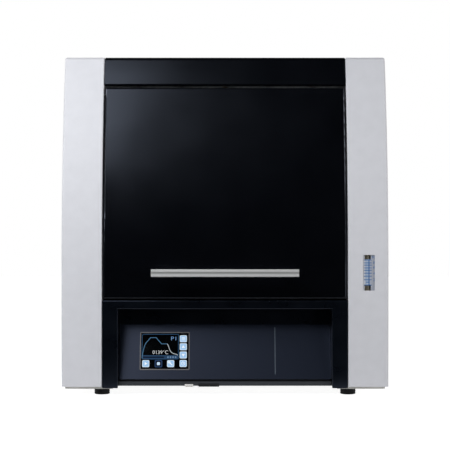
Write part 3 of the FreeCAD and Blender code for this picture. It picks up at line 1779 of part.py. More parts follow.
MAKERS = {
    "base_plate": make_base_plate,
    "rubber_feet": make_rubber_feet,
    "left_side_cover": make_left_side_cover,
    "right_side_cover": make_right_side_cover,
    "top_cover": make_top_cover,
    "vent_cowl": make_vent_cowl,
    "rear_panel": make_rear_panel,
    "frame_plates": make_frame_plates,
    "deck_plate": make_deck_plate,
    "front_header": make_front_header,
    "lower_front_bezel": make_lower_front_bezel,
    "control_panel": make_control_panel,
    "display_frame": make_display_frame,
    "display_screen": make_display_screen,
    "display_board": make_display_board,
    "front_sill": make_front_sill,
    "usb_socket": make_usb_socket,
    "port_plug": make_port_plug,
    "door_skin": make_door_skin,
    "door_liner": make_door_liner,
    "door_plug": make_door_plug,
    "door_gasket": make_door_gasket,
    "door_handle": make_door_handle,
    "handle_posts": make_handle_posts,
    "hinge_pins": make_hinge_pins,
    "hinge_bushes": make_hinge_bushes,
    "hinge_brackets": make_hinge_brackets,
    "hot_box_casing": make_hot_box_casing,
    "mouth_ring": make_mouth_ring,
    "floor_insulation": make_floor_insulation,
    "roof_insulation": make_roof_insulation,
    "side_insulation": make_side_insulation,
    "back_insulation": make_back_insulation,
    "heating_elements": make_heating_elements,
    "element_holders": make_element_holders,
    "element_clamps": make_element_clamps,
    "element_straps": make_element_straps,
    "power_leads": make_power_leads,
    "hearth_plate": make_hearth_plate,
    "exhaust_pipe": make_exhaust_pipe,
    "gas_lance": make_gas_lance,
    "thermocouple": make_thermocouple,
    "flowmeter_body": make_flowmeter_body,
    "flowmeter_fittings": make_flowmeter_fittings,
    "flowmeter_bracket": make_flowmeter_bracket,
    "flowmeter_float": make_flowmeter_float,
    "solenoid_valve": make_solenoid_valve,
    "gas_inlet": make_gas_inlet,
    "gas_hoses": make_gas_hoses,
    "fan_housing": make_fan_housing,
    "fan_rotor": make_fan_rotor,
    "fan_guard": make_fan_guard,
    "mains_inlet": make_mains_inlet,
    "power_rocker": make_power_rocker,
    "transformer": make_transformer,
    "heat_sink": make_heat_sink,
    "power_module": make_power_module,
    "control_board": make_control_board,
    "terminal_blocks": make_terminal_blocks,
    "cover_screws": make_cover_screws,
}

os.makedirs("parts", exist_ok=True)
for node, maker in MAKERS.items():
    maker().exportStep("parts/" + node + ".step")
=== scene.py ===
import json
from math import pi, radians

import bpy
import numpy as np
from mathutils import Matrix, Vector


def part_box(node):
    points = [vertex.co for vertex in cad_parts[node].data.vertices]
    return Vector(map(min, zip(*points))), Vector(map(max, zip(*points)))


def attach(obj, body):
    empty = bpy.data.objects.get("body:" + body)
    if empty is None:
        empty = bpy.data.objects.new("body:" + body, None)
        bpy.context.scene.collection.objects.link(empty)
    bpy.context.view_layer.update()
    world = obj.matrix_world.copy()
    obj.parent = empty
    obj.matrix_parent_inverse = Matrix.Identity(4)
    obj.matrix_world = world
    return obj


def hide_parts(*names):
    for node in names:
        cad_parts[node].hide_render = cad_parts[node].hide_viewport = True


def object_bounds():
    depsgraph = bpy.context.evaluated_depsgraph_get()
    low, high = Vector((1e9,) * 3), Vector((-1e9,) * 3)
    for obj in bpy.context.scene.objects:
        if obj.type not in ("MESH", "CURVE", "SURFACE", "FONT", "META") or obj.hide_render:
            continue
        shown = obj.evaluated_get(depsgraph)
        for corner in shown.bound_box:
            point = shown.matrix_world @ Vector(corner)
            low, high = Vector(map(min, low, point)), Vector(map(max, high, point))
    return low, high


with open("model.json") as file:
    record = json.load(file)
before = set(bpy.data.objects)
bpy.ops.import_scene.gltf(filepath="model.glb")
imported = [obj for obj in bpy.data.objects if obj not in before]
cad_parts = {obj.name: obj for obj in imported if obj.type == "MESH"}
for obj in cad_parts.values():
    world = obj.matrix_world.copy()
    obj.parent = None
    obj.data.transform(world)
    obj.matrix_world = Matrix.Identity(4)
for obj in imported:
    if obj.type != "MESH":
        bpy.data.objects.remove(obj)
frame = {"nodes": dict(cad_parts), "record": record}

cad_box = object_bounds()

bl_info = {
    "name": "Bench Sintering Furnace",
    "version": (1, 0, 0),
    "blender": (4, 5, 0),
    "location": "View3D > Sidebar > Furnace",
    "description": "Dresses the packed model of a bench furnace for dental ceramics",
    "category": "Object",
}

MM = 0.001

# Camera: level, straight in front, in metres and pixels
CAMERA_DISTANCE = 2.70
CAMERA_HEIGHT = 0.2928
FOCAL_LENGTH_PX = 1578.5
IMAGE_PX = 450
SENSOR_MM = 36.0


def linear(code):
    """Turns an sRGB hex colour into linear RGB."""
    channels = [int(code[i:i + 2], 16) / 255.0 for i in (1, 3, 5)]
    return tuple(c / 12.92 if c <= 0.04045 else ((c + 0.055) / 1.055) ** 2.4 for c in channels)


def rgba(code):
    """The same with an alpha of 1."""
    return (*linear(code), 1.0)


class FurnaceColours(bpy.types.PropertyGroup):
    """Colours that a user would change."""
    covers: bpy.props.FloatVectorProperty(
        name="Side covers", description="Powder coat of the two side covers",
        subtype="COLOR", size=3, min=0.0, max=1.0, default=linear("#dddce0"))
    front: bpy.props.FloatVectorProperty(
        name="Front", description="Black lacquer of the door, the band and the hood",
        subtype="COLOR", size=3, min=0.0, max=1.0, default=linear("#030407"))
    panel: bpy.props.FloatVectorProperty(
        name="Panel", description="Film on the sloped control panel",
        subtype="COLOR", size=3, min=0.0, max=1.0, default=linear("#121721"))
    base: bpy.props.FloatVectorProperty(
        name="Base", description="Powder coat of the base plate",
        subtype="COLOR", size=3, min=0.0, max=1.0, default=linear("#dad8d2"))
    fibre: bpy.props.FloatVectorProperty(
        name="Insulation", description="Vacuum-formed fibre board of the hot box",
        subtype="COLOR", size=3, min=0.0, max=1.0, default=linear("#ece8df"))
    hose: bpy.props.FloatVectorProperty(
        name="Hose", description="Polyurethane hose of the gas line",
        subtype="COLOR", size=3, min=0.0, max=1.0, default=linear("#2f62a8"))


class FurnaceSizes(bpy.types.PropertyGroup):
    """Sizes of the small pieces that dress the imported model."""
    trim_width: bpy.props.FloatProperty(
        name="Trim line", description="Width of the upright line on the panel",
        default=1.4 * MM, min=0.5 * MM, max=4.0 * MM, unit="LENGTH", precision=4)
    tick_thickness: bpy.props.FloatProperty(
        name="Scale line", description="Thickness of a line of the flow meter's scale",
        default=1.25 * MM, min=0.2 * MM, max=1.5 * MM, unit="LENGTH", precision=4)
    guard_wire: bpy.props.FloatProperty(
        name="Guard wire", description="Diameter of the fan guard's wire",
        default=1.5 * MM, min=0.8 * MM, max=1.6 * MM, unit="LENGTH", precision=4)
    foot_ribs: bpy.props.IntProperty(
        name="Foot ribs", description="Ribs round each rubber foot", default=3, min=1, max=6)
    braid_pitch: bpy.props.FloatProperty(
        name="Braid pitch", description="Length of rope in which a strand crosses over once",
        default=8.0 * MM, min=3.0 * MM, max=12.0 * MM, unit="LENGTH", precision=4)


def span(node):
    """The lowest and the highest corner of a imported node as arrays."""
    low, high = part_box(node)
    return np.array(low), np.array(high)


# Finishes

# Most of a noise texture's values lie between these two
NOISE_LOW = 0.3
NOISE_HIGH = 0.7


def add(tree, kind, inputs=None, output=0, **settings):
    """Adds a node with its settings and gives back one of its outputs; an input is a value, or an
    output to link from."""
    node = tree.nodes.new("ShaderNode" + kind)
    for name, value in settings.items():
        setattr(node, name, value)
    for socket, value in (inputs or {}).items():
        if isinstance(value, bpy.types.NodeSocket):
            tree.links.new(value, node.inputs[socket])
        else:
            node.inputs[socket].default_value = value
    return node.outputs[output] if node.outputs else node


def per_metre(size_mm):
    """Scale of a texture on Object coordinates whose grain is about size_mm across."""
    return 1.0 / (size_mm * MM)


def zinc_crystals(tree, place):
    """Cells of frozen zinc, each with a grey of its own, about 5 mm across."""
    cells = add(tree, "TexVoronoi", {"Vector": place, "Scale": per_metre(5.0)}, "Color")
    return add(tree, "SeparateColor", {"Color": cells}, "Red")


def painted_shade_handle_groove(tree, place):
    """1 in the groove along the handle's front, where its shade is painted: near its middle in height and
    near its front in depth.
    """
    half_groove = 1.85 * MM
    groove_depth = 2.5 * MM
    low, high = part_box("door_handle")
    middle = (low[2] + high[2]) / 2.0
    z = add(tree, "SeparateXYZ", {"Vector": place}, "Z")
    y = add(tree, "SeparateXYZ", {"Vector": place}, "Y")
    off = add(tree, "Math", {0: z, 1: middle}, operation="SUBTRACT")
    away = add(tree, "Math", {0: off}, operation="ABSOLUTE")
    inside = add(tree, "Math", {0: away, 1: half_groove}, operation="LESS_THAN")
    near = add(tree, "Math", {0: y, 1: low[1] + groove_depth}, operation="LESS_THAN")
    return add(tree, "Math", {0: inside, 1: near}, operation="MULTIPLY")


def painted_shade_across_block(tree, place):
    """Rises from 0 at the left side of the flow meter's block to 1 at its right side: the share of painted
    shade, with the left painted lit and the right painted dark.
    """
    low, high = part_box("flowmeter_body")
    x = add(tree, "SeparateXYZ", {"Vector": place}, "X")
    return add(tree, "MapRange", {"Value": x, "From Min": low[0], "From Max": high[0]})


def painted_highlight_streak(tree, place):
    """1 on the painted highlight streak a little left of the bore's middle, falling to 0 at both walls, where
    shade is painted.
    """
    low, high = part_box("flowmeter_float")
    middle = (low[0] + high[0]) / 2.0
    bright = middle - 0.9 * MM
    dim = middle + 1.2 * MM
    x = add(tree, "SeparateXYZ", {"Vector": place}, "X")
    left = add(tree, "MapRange", {"Value": x, "From Min": middle - METER_SLOT_HALF, "From Max": bright})
    right = add(tree, "MapRange", {"Value": x, "From Min": dim, "From Max": bright})
    return add(tree, "Math", {0: left, 1: right}, operation="MULTIPLY")


def tape_laps(tree, place):
    """Laps of tape round the core's upright axis; each rises evenly and then drops."""
    lap_count = 60.0
    low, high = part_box("transformer")
    centred = add(tree, "Mapping", {"Vector": place, "Location": tuple(-(low + high) / 2.0)})
    turn = add(tree, "TexGradient", {"Vector": centred}, "Fac", gradient_type="RADIAL")
    laps = add(tree, "Math", {0: turn, 1: lap_count}, operation="MULTIPLY")
    return add(tree, "Math", {0: laps}, operation="FRACT")


def board_tracks(tree, place):
    """1 on the copper lines that show through the mask, 0.35 mm wide round fields of 9 by 2.4 mm."""
    return add(tree, "TexBrick", {
        "Vector": place, "Scale": 1.0, "Mortar Size": 0.35 * MM, "Mortar Smooth": 0.1,
        "Brick Width": 9.0 * MM, "Row Height": 2.4 * MM}, "Fac")


def pixel_light(tree, place):
    """Glows in the colour of the drawing, a little unevenly."""
    ink = add(tree, "Attribute", output="Color", attribute_name="ink")
    cloud = add(tree, "TexNoise", {"Vector": place, "Scale": per_metre(0.9)})
    dim = add(tree, "MapRange", {
        "Value": cloud, "From Min": NOISE_LOW, "From Max": NOISE_HIGH, "To Min": 0.85})
    shade = add(tree, "Mix", {0: dim, 6: rgba("#000000"), 7: ink}, 2, data_type="RGBA")
    return {"Emission Color": shade, "Emission Strength": 1.0}


def floor_glow(tree, place):
    """Glows to the eye only, so the floor meets the white behind it and still takes a shadow."""
    glow = add(tree, "Math", {0: seen_directly(tree), 1: FLOOR_GLOW}, operation="MULTIPLY")
    return {"Emission Color": rgba("#ffffff"), "Emission Strength": glow}


# Each finish: its name, two tones (or one of the user's colours and how much brighter it drifts), the grain
# of tone, gloss and relief in millimetres (None where a pattern takes the grain's place), the relief's depth
# in millimetres and two roughnesses. Grain that is too fine to show is drawn as coarse as it needs to be, and
# the row says so.
FINISHES = {
    # Baked polyester powder: pale, even and only half matt, so the lamp spreads down it. Its orange peel,
    # about 1 mm in truth, is drawn at 1.6 mm
    "light_cover_paint": dict(
        name="light_grey_powder_coat", tones=("covers", 1.04), grain_mm=(18.0, 70.0, 1.6), depth_mm=0.006,
        rough=(0.46, 0.50)),
    # Blue-black satin lacquer: near black where it mirrors nothing, with a broad soft sheen where it tilts
    # and a peel of about 1 mm
    "black_paint": dict(
        name="black_satin_lacquer", tones=("front", 1.04), grain_mm=(18.0, 70.0, 1.1), depth_mm=0.001,
        rough=(0.20, 0.24), shader={"Specular Tint": rgba("#e4ebff")}),
    # Powder on the base plate, duller and warmer than the covers, its peel drawn at 2 mm
    "base_paint": dict(
        name="grey_powder_coat", tones=("base", 1.04), grain_mm=(18.0, 70.0, 2.0), depth_mm=0.01,
        rough=(0.53, 0.57)),
    # Hot-dip galvanised sheet: frozen zinc crystals, each with its own grey, under a dull scuffed skin
    "zinc_steel": dict(
        name="galvanised_steel", tones=("#b3b7ba", "#cacdcf"), grain_mm=(None, 12.0, 3.0), depth_mm=0.004,
        rough=(0.40, 0.52), pattern=zinc_crystals, shader={"Metallic": 0.55}),
    # Moulded nitrile rubber: dull charcoal with a trace of bloom; the mould's grain is drawn at 0.8 mm
    "black_rubber": dict(
        name="nitrile_rubber", tones=("#07090c", "#0b0d10"), grain_mm=(40.0, 40.0, 0.8), depth_mm=0.015,
        rough=(0.58, 0.66), shader={"Specular IOR Level": 0.2}),
    # Spark-eroded ABS of the lower frame: a trace bluer than the lacquer, its fine grain drawn at 0.5 mm
    "black_moulding": dict(
        name="moulded_black_abs", tones=("#03060b", "#06090e"), grain_mm=(40.0, 40.0, 0.5), depth_mm=0.002,
        rough=(0.26, 0.34), shader={"Specular Tint": rgba("#cfdcff")}),
    # Clear-anodised, belt-ground extrusion: the oxide scatters, so it stays pale at every angle, and the
    # groove along its front is painted darker as shade. The belt's lines are drawn 0.4 mm apart
    "handle_aluminium": dict(
        name="ground_anodised_aluminium", tones=("#f1f0ee", "#cbcac8"), grain_mm=(None, 0.4, 0.4),
        stretch=(0.007, 1.0, 1.0), depth_mm=0.003, rough=(0.42, 0.52), pattern=painted_shade_handle_groove,
        shader={"Metallic": 0.55}),
    # Zinc-plated steel: bluish bright, rubbed where the driver turned, with marks drawn at 1.2 mm
    "steel_fasteners": dict(
        name="zinc_plated_screws", tones=("#868a8e", "#9c9ea2"), grain_mm=(1.2, 1.2, 1.2), depth_mm=0.004,
        rough=(0.26, 0.38), shader={"Metallic": 1.0}),
    # Printed polyester film over the panel: smooth, with a velvet gloss whose grain is drawn at 0.4 mm
    "panel_face": dict(
        name="anthracite_polyester_film", tones=("panel", 1.12), grain_mm=(90.0, 0.4, 0.4), depth_mm=0.002,
        rough=(0.34, 0.40), shader={"Specular Tint": rgba("#d2dcff")}),
    # Structure powder on the folded sill: matt, slightly warm beside the blue-black, pimpled at 1.2 mm
    "sill_paint": dict(
        name="dark_grey_structure_paint", tones=("#23262c", "#272a30"), grain_mm=(18.0, 70.0, 1.2),
        depth_mm=0.02, rough=(0.58, 0.62)),
    # Chemically hardened cover glass: black, flat and sharply glossy, with the faintest smear
    "screen_glass": dict(
        name="display_cover_glass", tones=("#030406", "#040507"), grain_mm=(25.0, 25.0, 25.0),
        depth_mm=0.0005, rough=(0.05, 0.11)),
    # Bead-blasted, grey-anodised edge round the display: dull, with its pits drawn at 0.4 mm
    "grey_trim": dict(
        name="grey_anodised_aluminium", tones=("#66625f", "#6e6a6c"), grain_mm=(0.4, 0.4, 0.4),
        depth_mm=0.002, rough=(0.36, 0.48), shader={"Metallic": 0.6}),
    # Nickel-plated pressed steel: bright, with faint draw lines along its depth, drawn 0.3 mm apart
    "nickel_plate": dict(
        name="nickel_plated_steel", tones=("#b8b3ac", "#cfcac2"), grain_mm=(0.3, 0.3, 0.3),
        stretch=(1.0, 0.025, 1.0), depth_mm=0.002, rough=(0.20, 0.32), shader={"Metallic": 1.0}),
    # Vacuum-formed alumina fibre: chalky white and faintly creamed by heat. Its fibres are finer than a hair
    # and are drawn as tufts of 2.2 mm
    "fibre_board": dict(
        name="alumina_fibre_board", tones=("fibre", 0.84), grain_mm=(35.0, 35.0, 2.2), distortion=1.2,
        depth_mm=0.25, rough=(0.93, 0.97)),
    # Knitted ceramic yarn of 1 mm: dull and creamy; the braid itself is in the rope's own shape
    "seal_rope": dict(
        name="braided_ceramic_rope", tones=("#d2ccbe", "#e4dfd3"), grain_mm=(6.0, 20.0, 1.0), distortion=1.2,
        depth_mm=0.12, rough=(0.93, 0.97)),
    # Molybdenum disilicide rod: dark grey under the thin glassy skin that it grows in use, rippled at 1.2 mm
    "element_ceramic": dict(
        name="molybdenum_disilicide", tones=("#3b3a3c", "#5d5a58"), grain_mm=(8.0, 8.0, 1.2), depth_mm=0.01,
        rough=(0.24, 0.42), shader={"Metallic": 0.35}),
    # Slip-cast, sintered alumina: ivory, faintly mottled, its fine grain drawn at 0.8 mm
    "white_ceramic": dict(
        name="sintered_alumina", tones=("#ddd4bf", "#ebe4d2"), grain_mm=(1.4, 10.0, 0.8), depth_mm=0.01,
        rough=(0.45, 0.60), shader={"IOR": 1.7}),
    # Extruded aluminium as it leaves the press: soft die lines along its depth, drawn 0.5 mm apart
    "mill_aluminium": dict(
        name="mill_finish_aluminium", tones=("#adafb1", "#c6c8ca"), grain_mm=(0.5, 0.5, 0.5),
        stretch=(1.0, 0.0125, 1.0), depth_mm=0.006, rough=(0.32, 0.44), shader={"Metallic": 1.0}),
    # Silicone-coated glass sleeve: rust red and matt, with the weave just showing, drawn at 1 mm
    "lead_sleeve": dict(
        name="silicone_glass_sleeve", tones=("#7c3222", "#8a3c2a"), grain_mm=(40.0, 40.0, 1.0), depth_mm=0.05,
        rough=(0.64, 0.72)),
    # Steatite terminal blocks: cream, under a light glaze that ripples at 2 mm
    "terminal_ceramic": dict(
        name="glazed_steatite", tones=("#d8ccb0", "#e6dcc4"), grain_mm=(5.0, 9.0, 2.0), depth_mm=0.02,
        rough=(0.20, 0.34), shader={"IOR": 1.55}),
    # Turned brass gone slightly olive, with fine tool rings drawn at 0.5 mm
    "brass": dict(
        name="turned_brass", tones=("#a09883", "#b8b09c"), grain_mm=(0.5, 0.5, 0.5), depth_mm=0.003,
        rough=(0.24, 0.36), shader={"Metallic": 0.55}),
    # Extruded polyurethane hose: smooth and slightly waxy, with a ripple of 2 mm from the die
    "gas_hose": dict(
        name="blue_polyurethane_hose", tones=("hose", 1.1), grain_mm=(20.0, 12.0, 2.0), depth_mm=0.01,
        rough=(0.26, 0.36), shader={"Subsurface Weight": 0.1}),
    # Polished acrylic block over its own pale back, with painted light and shade: painted lighter at the
    # left, as if light entered there, and painted darker at the right
    "clear_acrylic": dict(
        name="pale_backed_acrylic", tones=("#e2e4ea", "#9498a6"), grain_mm=(None, 30.0, 30.0), depth_mm=0.001,
        rough=(0.10, 0.16), pattern=painted_shade_across_block, shader={"IOR": 1.49}),
    # Black glass ball: mirror smooth, with one small sharp highlight
    "float_glass": dict(
        name="black_glass_ball", tones=("#0b0c12", "#101118"), grain_mm=(2.0, 2.0, 2.0), depth_mm=0.0005,
        rough=(0.06, 0.12)),
    # Glass-filled polyamide of fan, inlet and valve: grey-black and dull, its fibres drawn at 0.7 mm
    "black_electrical": dict(
        name="glass_filled_polyamide", tones=("#17191c", "#1e2023"), grain_mm=(40.0, 40.0, 0.7),
        depth_mm=0.015, rough=(0.46, 0.54)),
    # Polished black polycarbonate of the rocker: smooth and glossy
    "rocker_plastic": dict(
        name="polished_polycarbonate", tones=("#0c0d0f", "#111214"), grain_mm=(40.0, 40.0, 1.5),
        depth_mm=0.003, rough=(0.18, 0.26)),
    # Amber polyester tape lapped round the core: each lap shows as a step. There are fewer laps than in truth
    "winding_tape": dict(
        name="polyester_winding_tape", tones=("#c69a3c", "#dcb966"), grain_mm=(None, 10.0, None),
        depth_mm=0.15, rough=(0.32, 0.38), pattern=tape_laps),
    # Green solder mask over copper: a glossy film with paler tracks
    "circuit_board": dict(
        name="solder_masked_board", tones=("#11502e", "#2c7a4c"), grain_mm=(None, 6.0, None), depth_mm=0.03,
        rough=(0.26, 0.36), pattern=board_tracks),
    # Polished front of the bore: blue, painted darker towards its walls as shade, with a painted highlight
    # streak like a glass tube's, and thin enough for the ball to show through
    "bore_front": dict(
        name="clear_bore_front", tones=("#8fa6cb", "#d4e2f4"), grain_mm=(None, 8.0, 8.0), depth_mm=0.0005,
        rough=(0.05, 0.10), pattern=painted_highlight_streak, shader={"IOR": 1.49, "Alpha": 0.72}),
    # Screen-printed scale: flat blue ink, its slightly uneven cover drawn at 0.5 mm
    "scale_ink": dict(
        name="printed_blue_ink", tones=("#0a5a9c", "#1669ab"), grain_mm=(0.5, 5.0, 0.5), depth_mm=0.001,
        rough=(0.38, 0.42)),
    # Closed-cell foam rubber: blacker and duller than the feet, with cells drawn at 1 mm
    "foam_rubber": dict(
        name="closed_cell_foam_rubber", tones=("#05060a", "#090a0e"), grain_mm=(8.0, 20.0, 1.0),
        depth_mm=0.04, rough=(0.84, 0.94)),
    # Matt tin plate of the socket's shell: it scatters, so it stays pale where a polished one would be dark
    "tin_plate": dict(
        name="matt_tin_plate", tones=("#ece8e4", "#f6f3f0"), grain_mm=(3.0, 3.0, 0.8), depth_mm=0.002,
        rough=(0.42, 0.52), shader={"Metallic": 0.3}),
    # Line printed on the panel's film in metallic grey ink: a dull glint, clouded at 3 mm
    "trim_line": dict(
        name="grey_printed_line", tones=("#545d67", "#5e6873"), grain_mm=(3.0, 3.0, 3.0), depth_mm=0.001,
        rough=(0.34, 0.46), shader={"Metallic": 0.2}),
    # Blue acetal of the release ring: smooth and a little waxy, its grain drawn at 0.6 mm
    "release_ring": dict(
        name="blue_acetal_ring", tones=("#1f4f9a", "#2659a6"), grain_mm=(40.0, 40.0, 0.6), depth_mm=0.004,
        rough=(0.31, 0.39)),
    # White pad print on the rocker: flat and matt, with a cover that clouds at 4 mm
    "pad_print": dict(
        name="white_pad_print", tones=("#dfe2e4", "#e9ebec"), grain_mm=(4.0, 4.0, 0.4), depth_mm=0.002,
        rough=(0.46, 0.54)),
    # Light of the display through its glass: the drawing glows, and the glass before it is smooth
    "display_light": dict(
        name="lit_display_pixels", tones=("#030406", "#040507"), grain_mm=(25.0, 25.0, 25.0), depth_mm=0.0005,
        rough=(0.10, 0.14), more=pixel_light),
    # Pale paper floor of the studio: matt, so it mirrors nothing and takes a soft shadow
    "studio_floor": dict(
        name="pale_floor", tones=("#e6e6e6", "#eaeaea"), grain_mm=(300.0, 300.0, 5.0), depth_mm=0.01,
        rough=(0.88, 0.92), shader={"Specular IOR Level": 0.2}, more=floor_glow),
    # Black cloth of the flags: it gives back next to nothing
    "studio_cloth": dict(
        name="black_studio_cloth", tones=("#020203", "#050506"), grain_mm=(2.0, 2.0, 2.0), depth_mm=0.1,
        rough=(0.98, 1.0), shader={"Specular IOR Level": 0.0}),
}


def two_tones(tones, colours):
    """The two tones of a finish as linear colours."""
    if isinstance(tones[1], str):
        return rgba(tones[0]), rgba(tones[1])
    chosen = tuple(getattr(colours, tones[0]))
    return (*chosen, 1.0), (*(min(1.0, c * tones[1]) for c in chosen), 1.0)


def finish(key):
    """The material of a finish, made when it is first asked for: noise or a pattern moves its tone between
    two colours, noise moves its gloss between two roughnesses, and noise or the pattern lifts its relief."""
    made = [material for material in bpy.data.materials if material.get("finish") == key]
    if made:
        return made[0]
    row = FINISHES[key]
    material = bpy.data.materials.new(row["name"])
    material["finish"] = key
    material.use_nodes = True
    tree = material.node_tree
    tree.nodes.clear()
    place = add(tree, "TexCoord", output="Object")
    stretched = add(tree, "Mapping", {"Vector": place, "Scale": row.get("stretch", (1.0, 1.0, 1.0))})
    tone, gloss, height = (
        size and add(tree, "TexNoise", {
            "Vector": stretched, "Scale": per_metre(size), "Detail": 3.0,
            "Distortion": row.get("distortion", 0.0)})
        for size in row["grain_mm"])
    if "pattern" in row:
        share = row["pattern"](tree, place)
    else:
        share = add(tree, "MapRange", {"Value": tone, "From Min": NOISE_LOW, "From Max": NOISE_HIGH})
    first, second = two_tones(row["tones"], bpy.context.scene.furnace_colours)
    low, high = row["rough"]
    inputs = {
        "Base Color": add(tree, "Mix", {0: share, 6: first, 7: second}, 2, data_type="RGBA"),
        "Roughness": add(tree, "MapRange", {
            "Value": gloss, "From Min": NOISE_LOW, "From Max": NOISE_HIGH, "To Min": low, "To Max": high}),
        "Normal": add(tree, "Bump", {"Height": height or share, "Distance": row["depth_mm"] * MM}),
        **row.get("shader", {})}
    if "more" in row:
        inputs.update(row["more"](tree, place))
    add(tree, "OutputMaterial", {"Surface": add(tree, "BsdfPrincipled", inputs)})
    return material


def dress(*slots):
    """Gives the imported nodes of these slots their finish."""
    for row in frame["record"]["subparts"]:
        if row["material_slot"] in slots:
            mesh = frame["nodes"][row["node"]].data
            mesh.materials.clear()
            mesh.materials.append(finish(row["material_slot"]))


class FURNACE_OT_housing_finishes(bpy.types.Operator):
    """Paints the covers, the door and the base, and finishes the handle and the frame"""
    bl_idname = "furnace.housing_finishes"
    bl_label = "Housing finishes"

    def execute(self, context):
        dress("light_cover_paint", "black_paint", "base_paint", "zinc_steel", "black_rubber",
              "black_moulding", "handle_aluminium", "steel_fasteners")
        return {"FINISHED"}


class FURNACE_OT_control_finishes(bpy.types.Operator):
    """Finishes the control panel, the display glass and the sill"""
    bl_idname = "furnace.control_finishes"
    bl_label = "Control finishes"

    def execute(self, context):
        dress("panel_face", "sill_paint", "screen_glass", "grey_trim", "nickel_plate")
        return {"FINISHED"}


class FURNACE_OT_hot_box_finishes(bpy.types.Operator):
    """Finishes the insulation, the elements and what holds them"""
    bl_idname = "furnace.hot_box_finishes"
    bl_label = "Hot box finishes"

    def execute(self, context):
        dress("fibre_board", "seal_rope", "element_ceramic", "white_ceramic", "mill_aluminium", "lead_sleeve",
              "terminal_ceramic")
        return {"FINISHED"}


class FURNACE_OT_gas_line_finishes(bpy.types.Operator):
    """Finishes the flow meter, the hoses and the fittings"""
    bl_idname = "furnace.gas_line_finishes"
    bl_label = "Gas line finishes"

    def execute(self, context):
        dress("brass", "gas_hose", "clear_acrylic", "float_glass")
        return {"FINISHED"}


class FURNACE_OT_electric_finishes(bpy.types.Operator):
    """Finishes the fan, the mains inlet and the boards"""
    bl_idname = "furnace.electric_finishes"
    bl_label = "Electric finishes"

    def execute(self, context):
        dress("black_electrical", "rocker_plastic", "winding_tape", "circuit_board")
        return {"FINISHED"}


# Surfaces from grids of points

def whole_turn(count):
    """Angles that step evenly round a circle."""
    return np.arange(count) * 2.0 * pi / count


def hexagon(angle):
    """How far a hexagon's edge lies from its middle at an angle: cos 30 / cos(a - 30) over each sixth of a
    turn, which is 1 at the corners."""
    return np.cos(pi / 6.0) / np.cos(np.mod(angle, pi / 3.0) - pi / 6.0)


def grid(points, closed_rows=False, closed_columns=False, capped=False):
    """Points of shape (rows, columns, 3) as vertices and quads; the last row or column may join the
    first, and capped closes the first and the last row with a flat face each."""
    rows, columns = points.shape[:2]
    i = np.arange(rows if closed_rows else rows - 1)[:, None]
    j = np.arange(columns if closed_columns else columns - 1)[None, :]
    next_i = (i + 1) % rows
    next_j = (j + 1) % columns
    corners = np.stack([
        i * columns + j, i * columns + next_j, next_i * columns + next_j, next_i * columns + j], axis=-1)
    faces = corners.reshape(-1, 4).tolist()
    if capped:
        ring = np.arange(columns)
        faces.append(ring[::-1].tolist())
        faces.append((ring + (rows - 1) * columns).tolist())
    return points.reshape(-1, 3), faces


def turned(radii, heights, base, axis, count, hollow=False):
    """A profile turned round an axis: base + height * axis + radius * (cos a * u + sin a * v). A radius
    may also be a row that differs from angle to angle; a hollow piece's profile joins its own start."""
    axis = np.array(axis, float)
    u = np.cross(axis, (0.0, 0.0, 1.0) if abs(axis[2]) < 0.9 else (1.0, 0.0, 0.0))
    u /= np.linalg.norm(u)
    v = np.cross(axis, u)
    angle = whole_turn(count)
    ring = np.cos(angle)[:, None] * u + np.sin(angle)[:, None] * v
    radius = np.stack([np.broadcast_to(r, (count,)) for r in radii])
    height = np.array(heights, float)[:, None, None] * axis
    points = np.array(base, float) + height + radius[:, :, None] * ring
    return grid(points, closed_rows=hollow, closed_columns=True, capped=not hollow)


def swept(path, section, up, closed=False):
    """A section carried along a path: path + x * side + y * up, where side lies across the path and up
    at each point. closed joins the path's end to its start."""
    path = np.array(path, float)
    up = np.array(up, float)
    if closed:
        along = np.roll(path, -1, axis=0) - np.roll(path, 1, axis=0)
    else:
        along = np.gradient(path, axis=0)
    side = np.cross(along, up)
    side /= np.linalg.norm(side, axis=1)[:, None]
    section = np.broadcast_to(section, (len(path),) + np.shape(section)[-2:])
    points = path[:, None] + section[:, :, :1] * side[:, None] + section[:, :, 1:] * up
    return grid(points, closed_rows=closed, closed_columns=True, capped=not closed)


def round_section(radius, count=8):
    """A circle of points, radius * (cos a, sin a), clockwise so that a swept wire faces outwards."""
    angle = -whole_turn(count)
    return radius * np.stack([np.cos(angle), np.sin(angle)], axis=1)


def rounded_outline(half_x, half_y, radius, count):
    """A rectangle with round corners, counter-clockwise: each corner's arc is the corner moved in by the
    radius, plus radius * (cos a, sin a) over a quarter turn, in count points."""
    angle = np.linspace(0.0, pi / 2.0, count)
    turn = np.arange(4)[:, None] * pi / 2.0
    all_angles = turn + angle
    x = np.sign(np.cos(turn + pi / 4.0)) * (half_x - radius) + radius * np.cos(all_angles)
    y = np.sign(np.sin(turn + pi / 4.0)) * (half_y - radius) + radius * np.sin(all_angles)
    return np.stack([x.ravel(), y.ravel()], axis=1)


def evenly(points, count, closed=False):
    """A line of points stepped off in equal lengths, and how long it is. An open line keeps its two ends; a
    closed one runs back to its start."""
    points = np.vstack([points, points[:1]]) if closed else points
    reach = np.concatenate([[0.0], np.cumsum(np.linalg.norm(np.diff(points, axis=0), axis=1))])
    steps = np.linspace(0.0, reach[-1], count, endpoint=not closed)
    return np.stack([np.interp(steps, reach, column) for column in points.T], axis=1), reach[-1]


def slab(outline, low, high, place):
    """A flat outline given thickness from low to high, set in space by place(points, lift)."""
    return grid(np.stack([place(outline, low), place(outline, high)]), closed_columns=True, capped=True)


def facing_front(y):
    """Sets an outline of x and z in space: at y, and lifted from there towards the front."""
    return lambda outline, lift: np.insert(outline, 1, y - lift, axis=1)


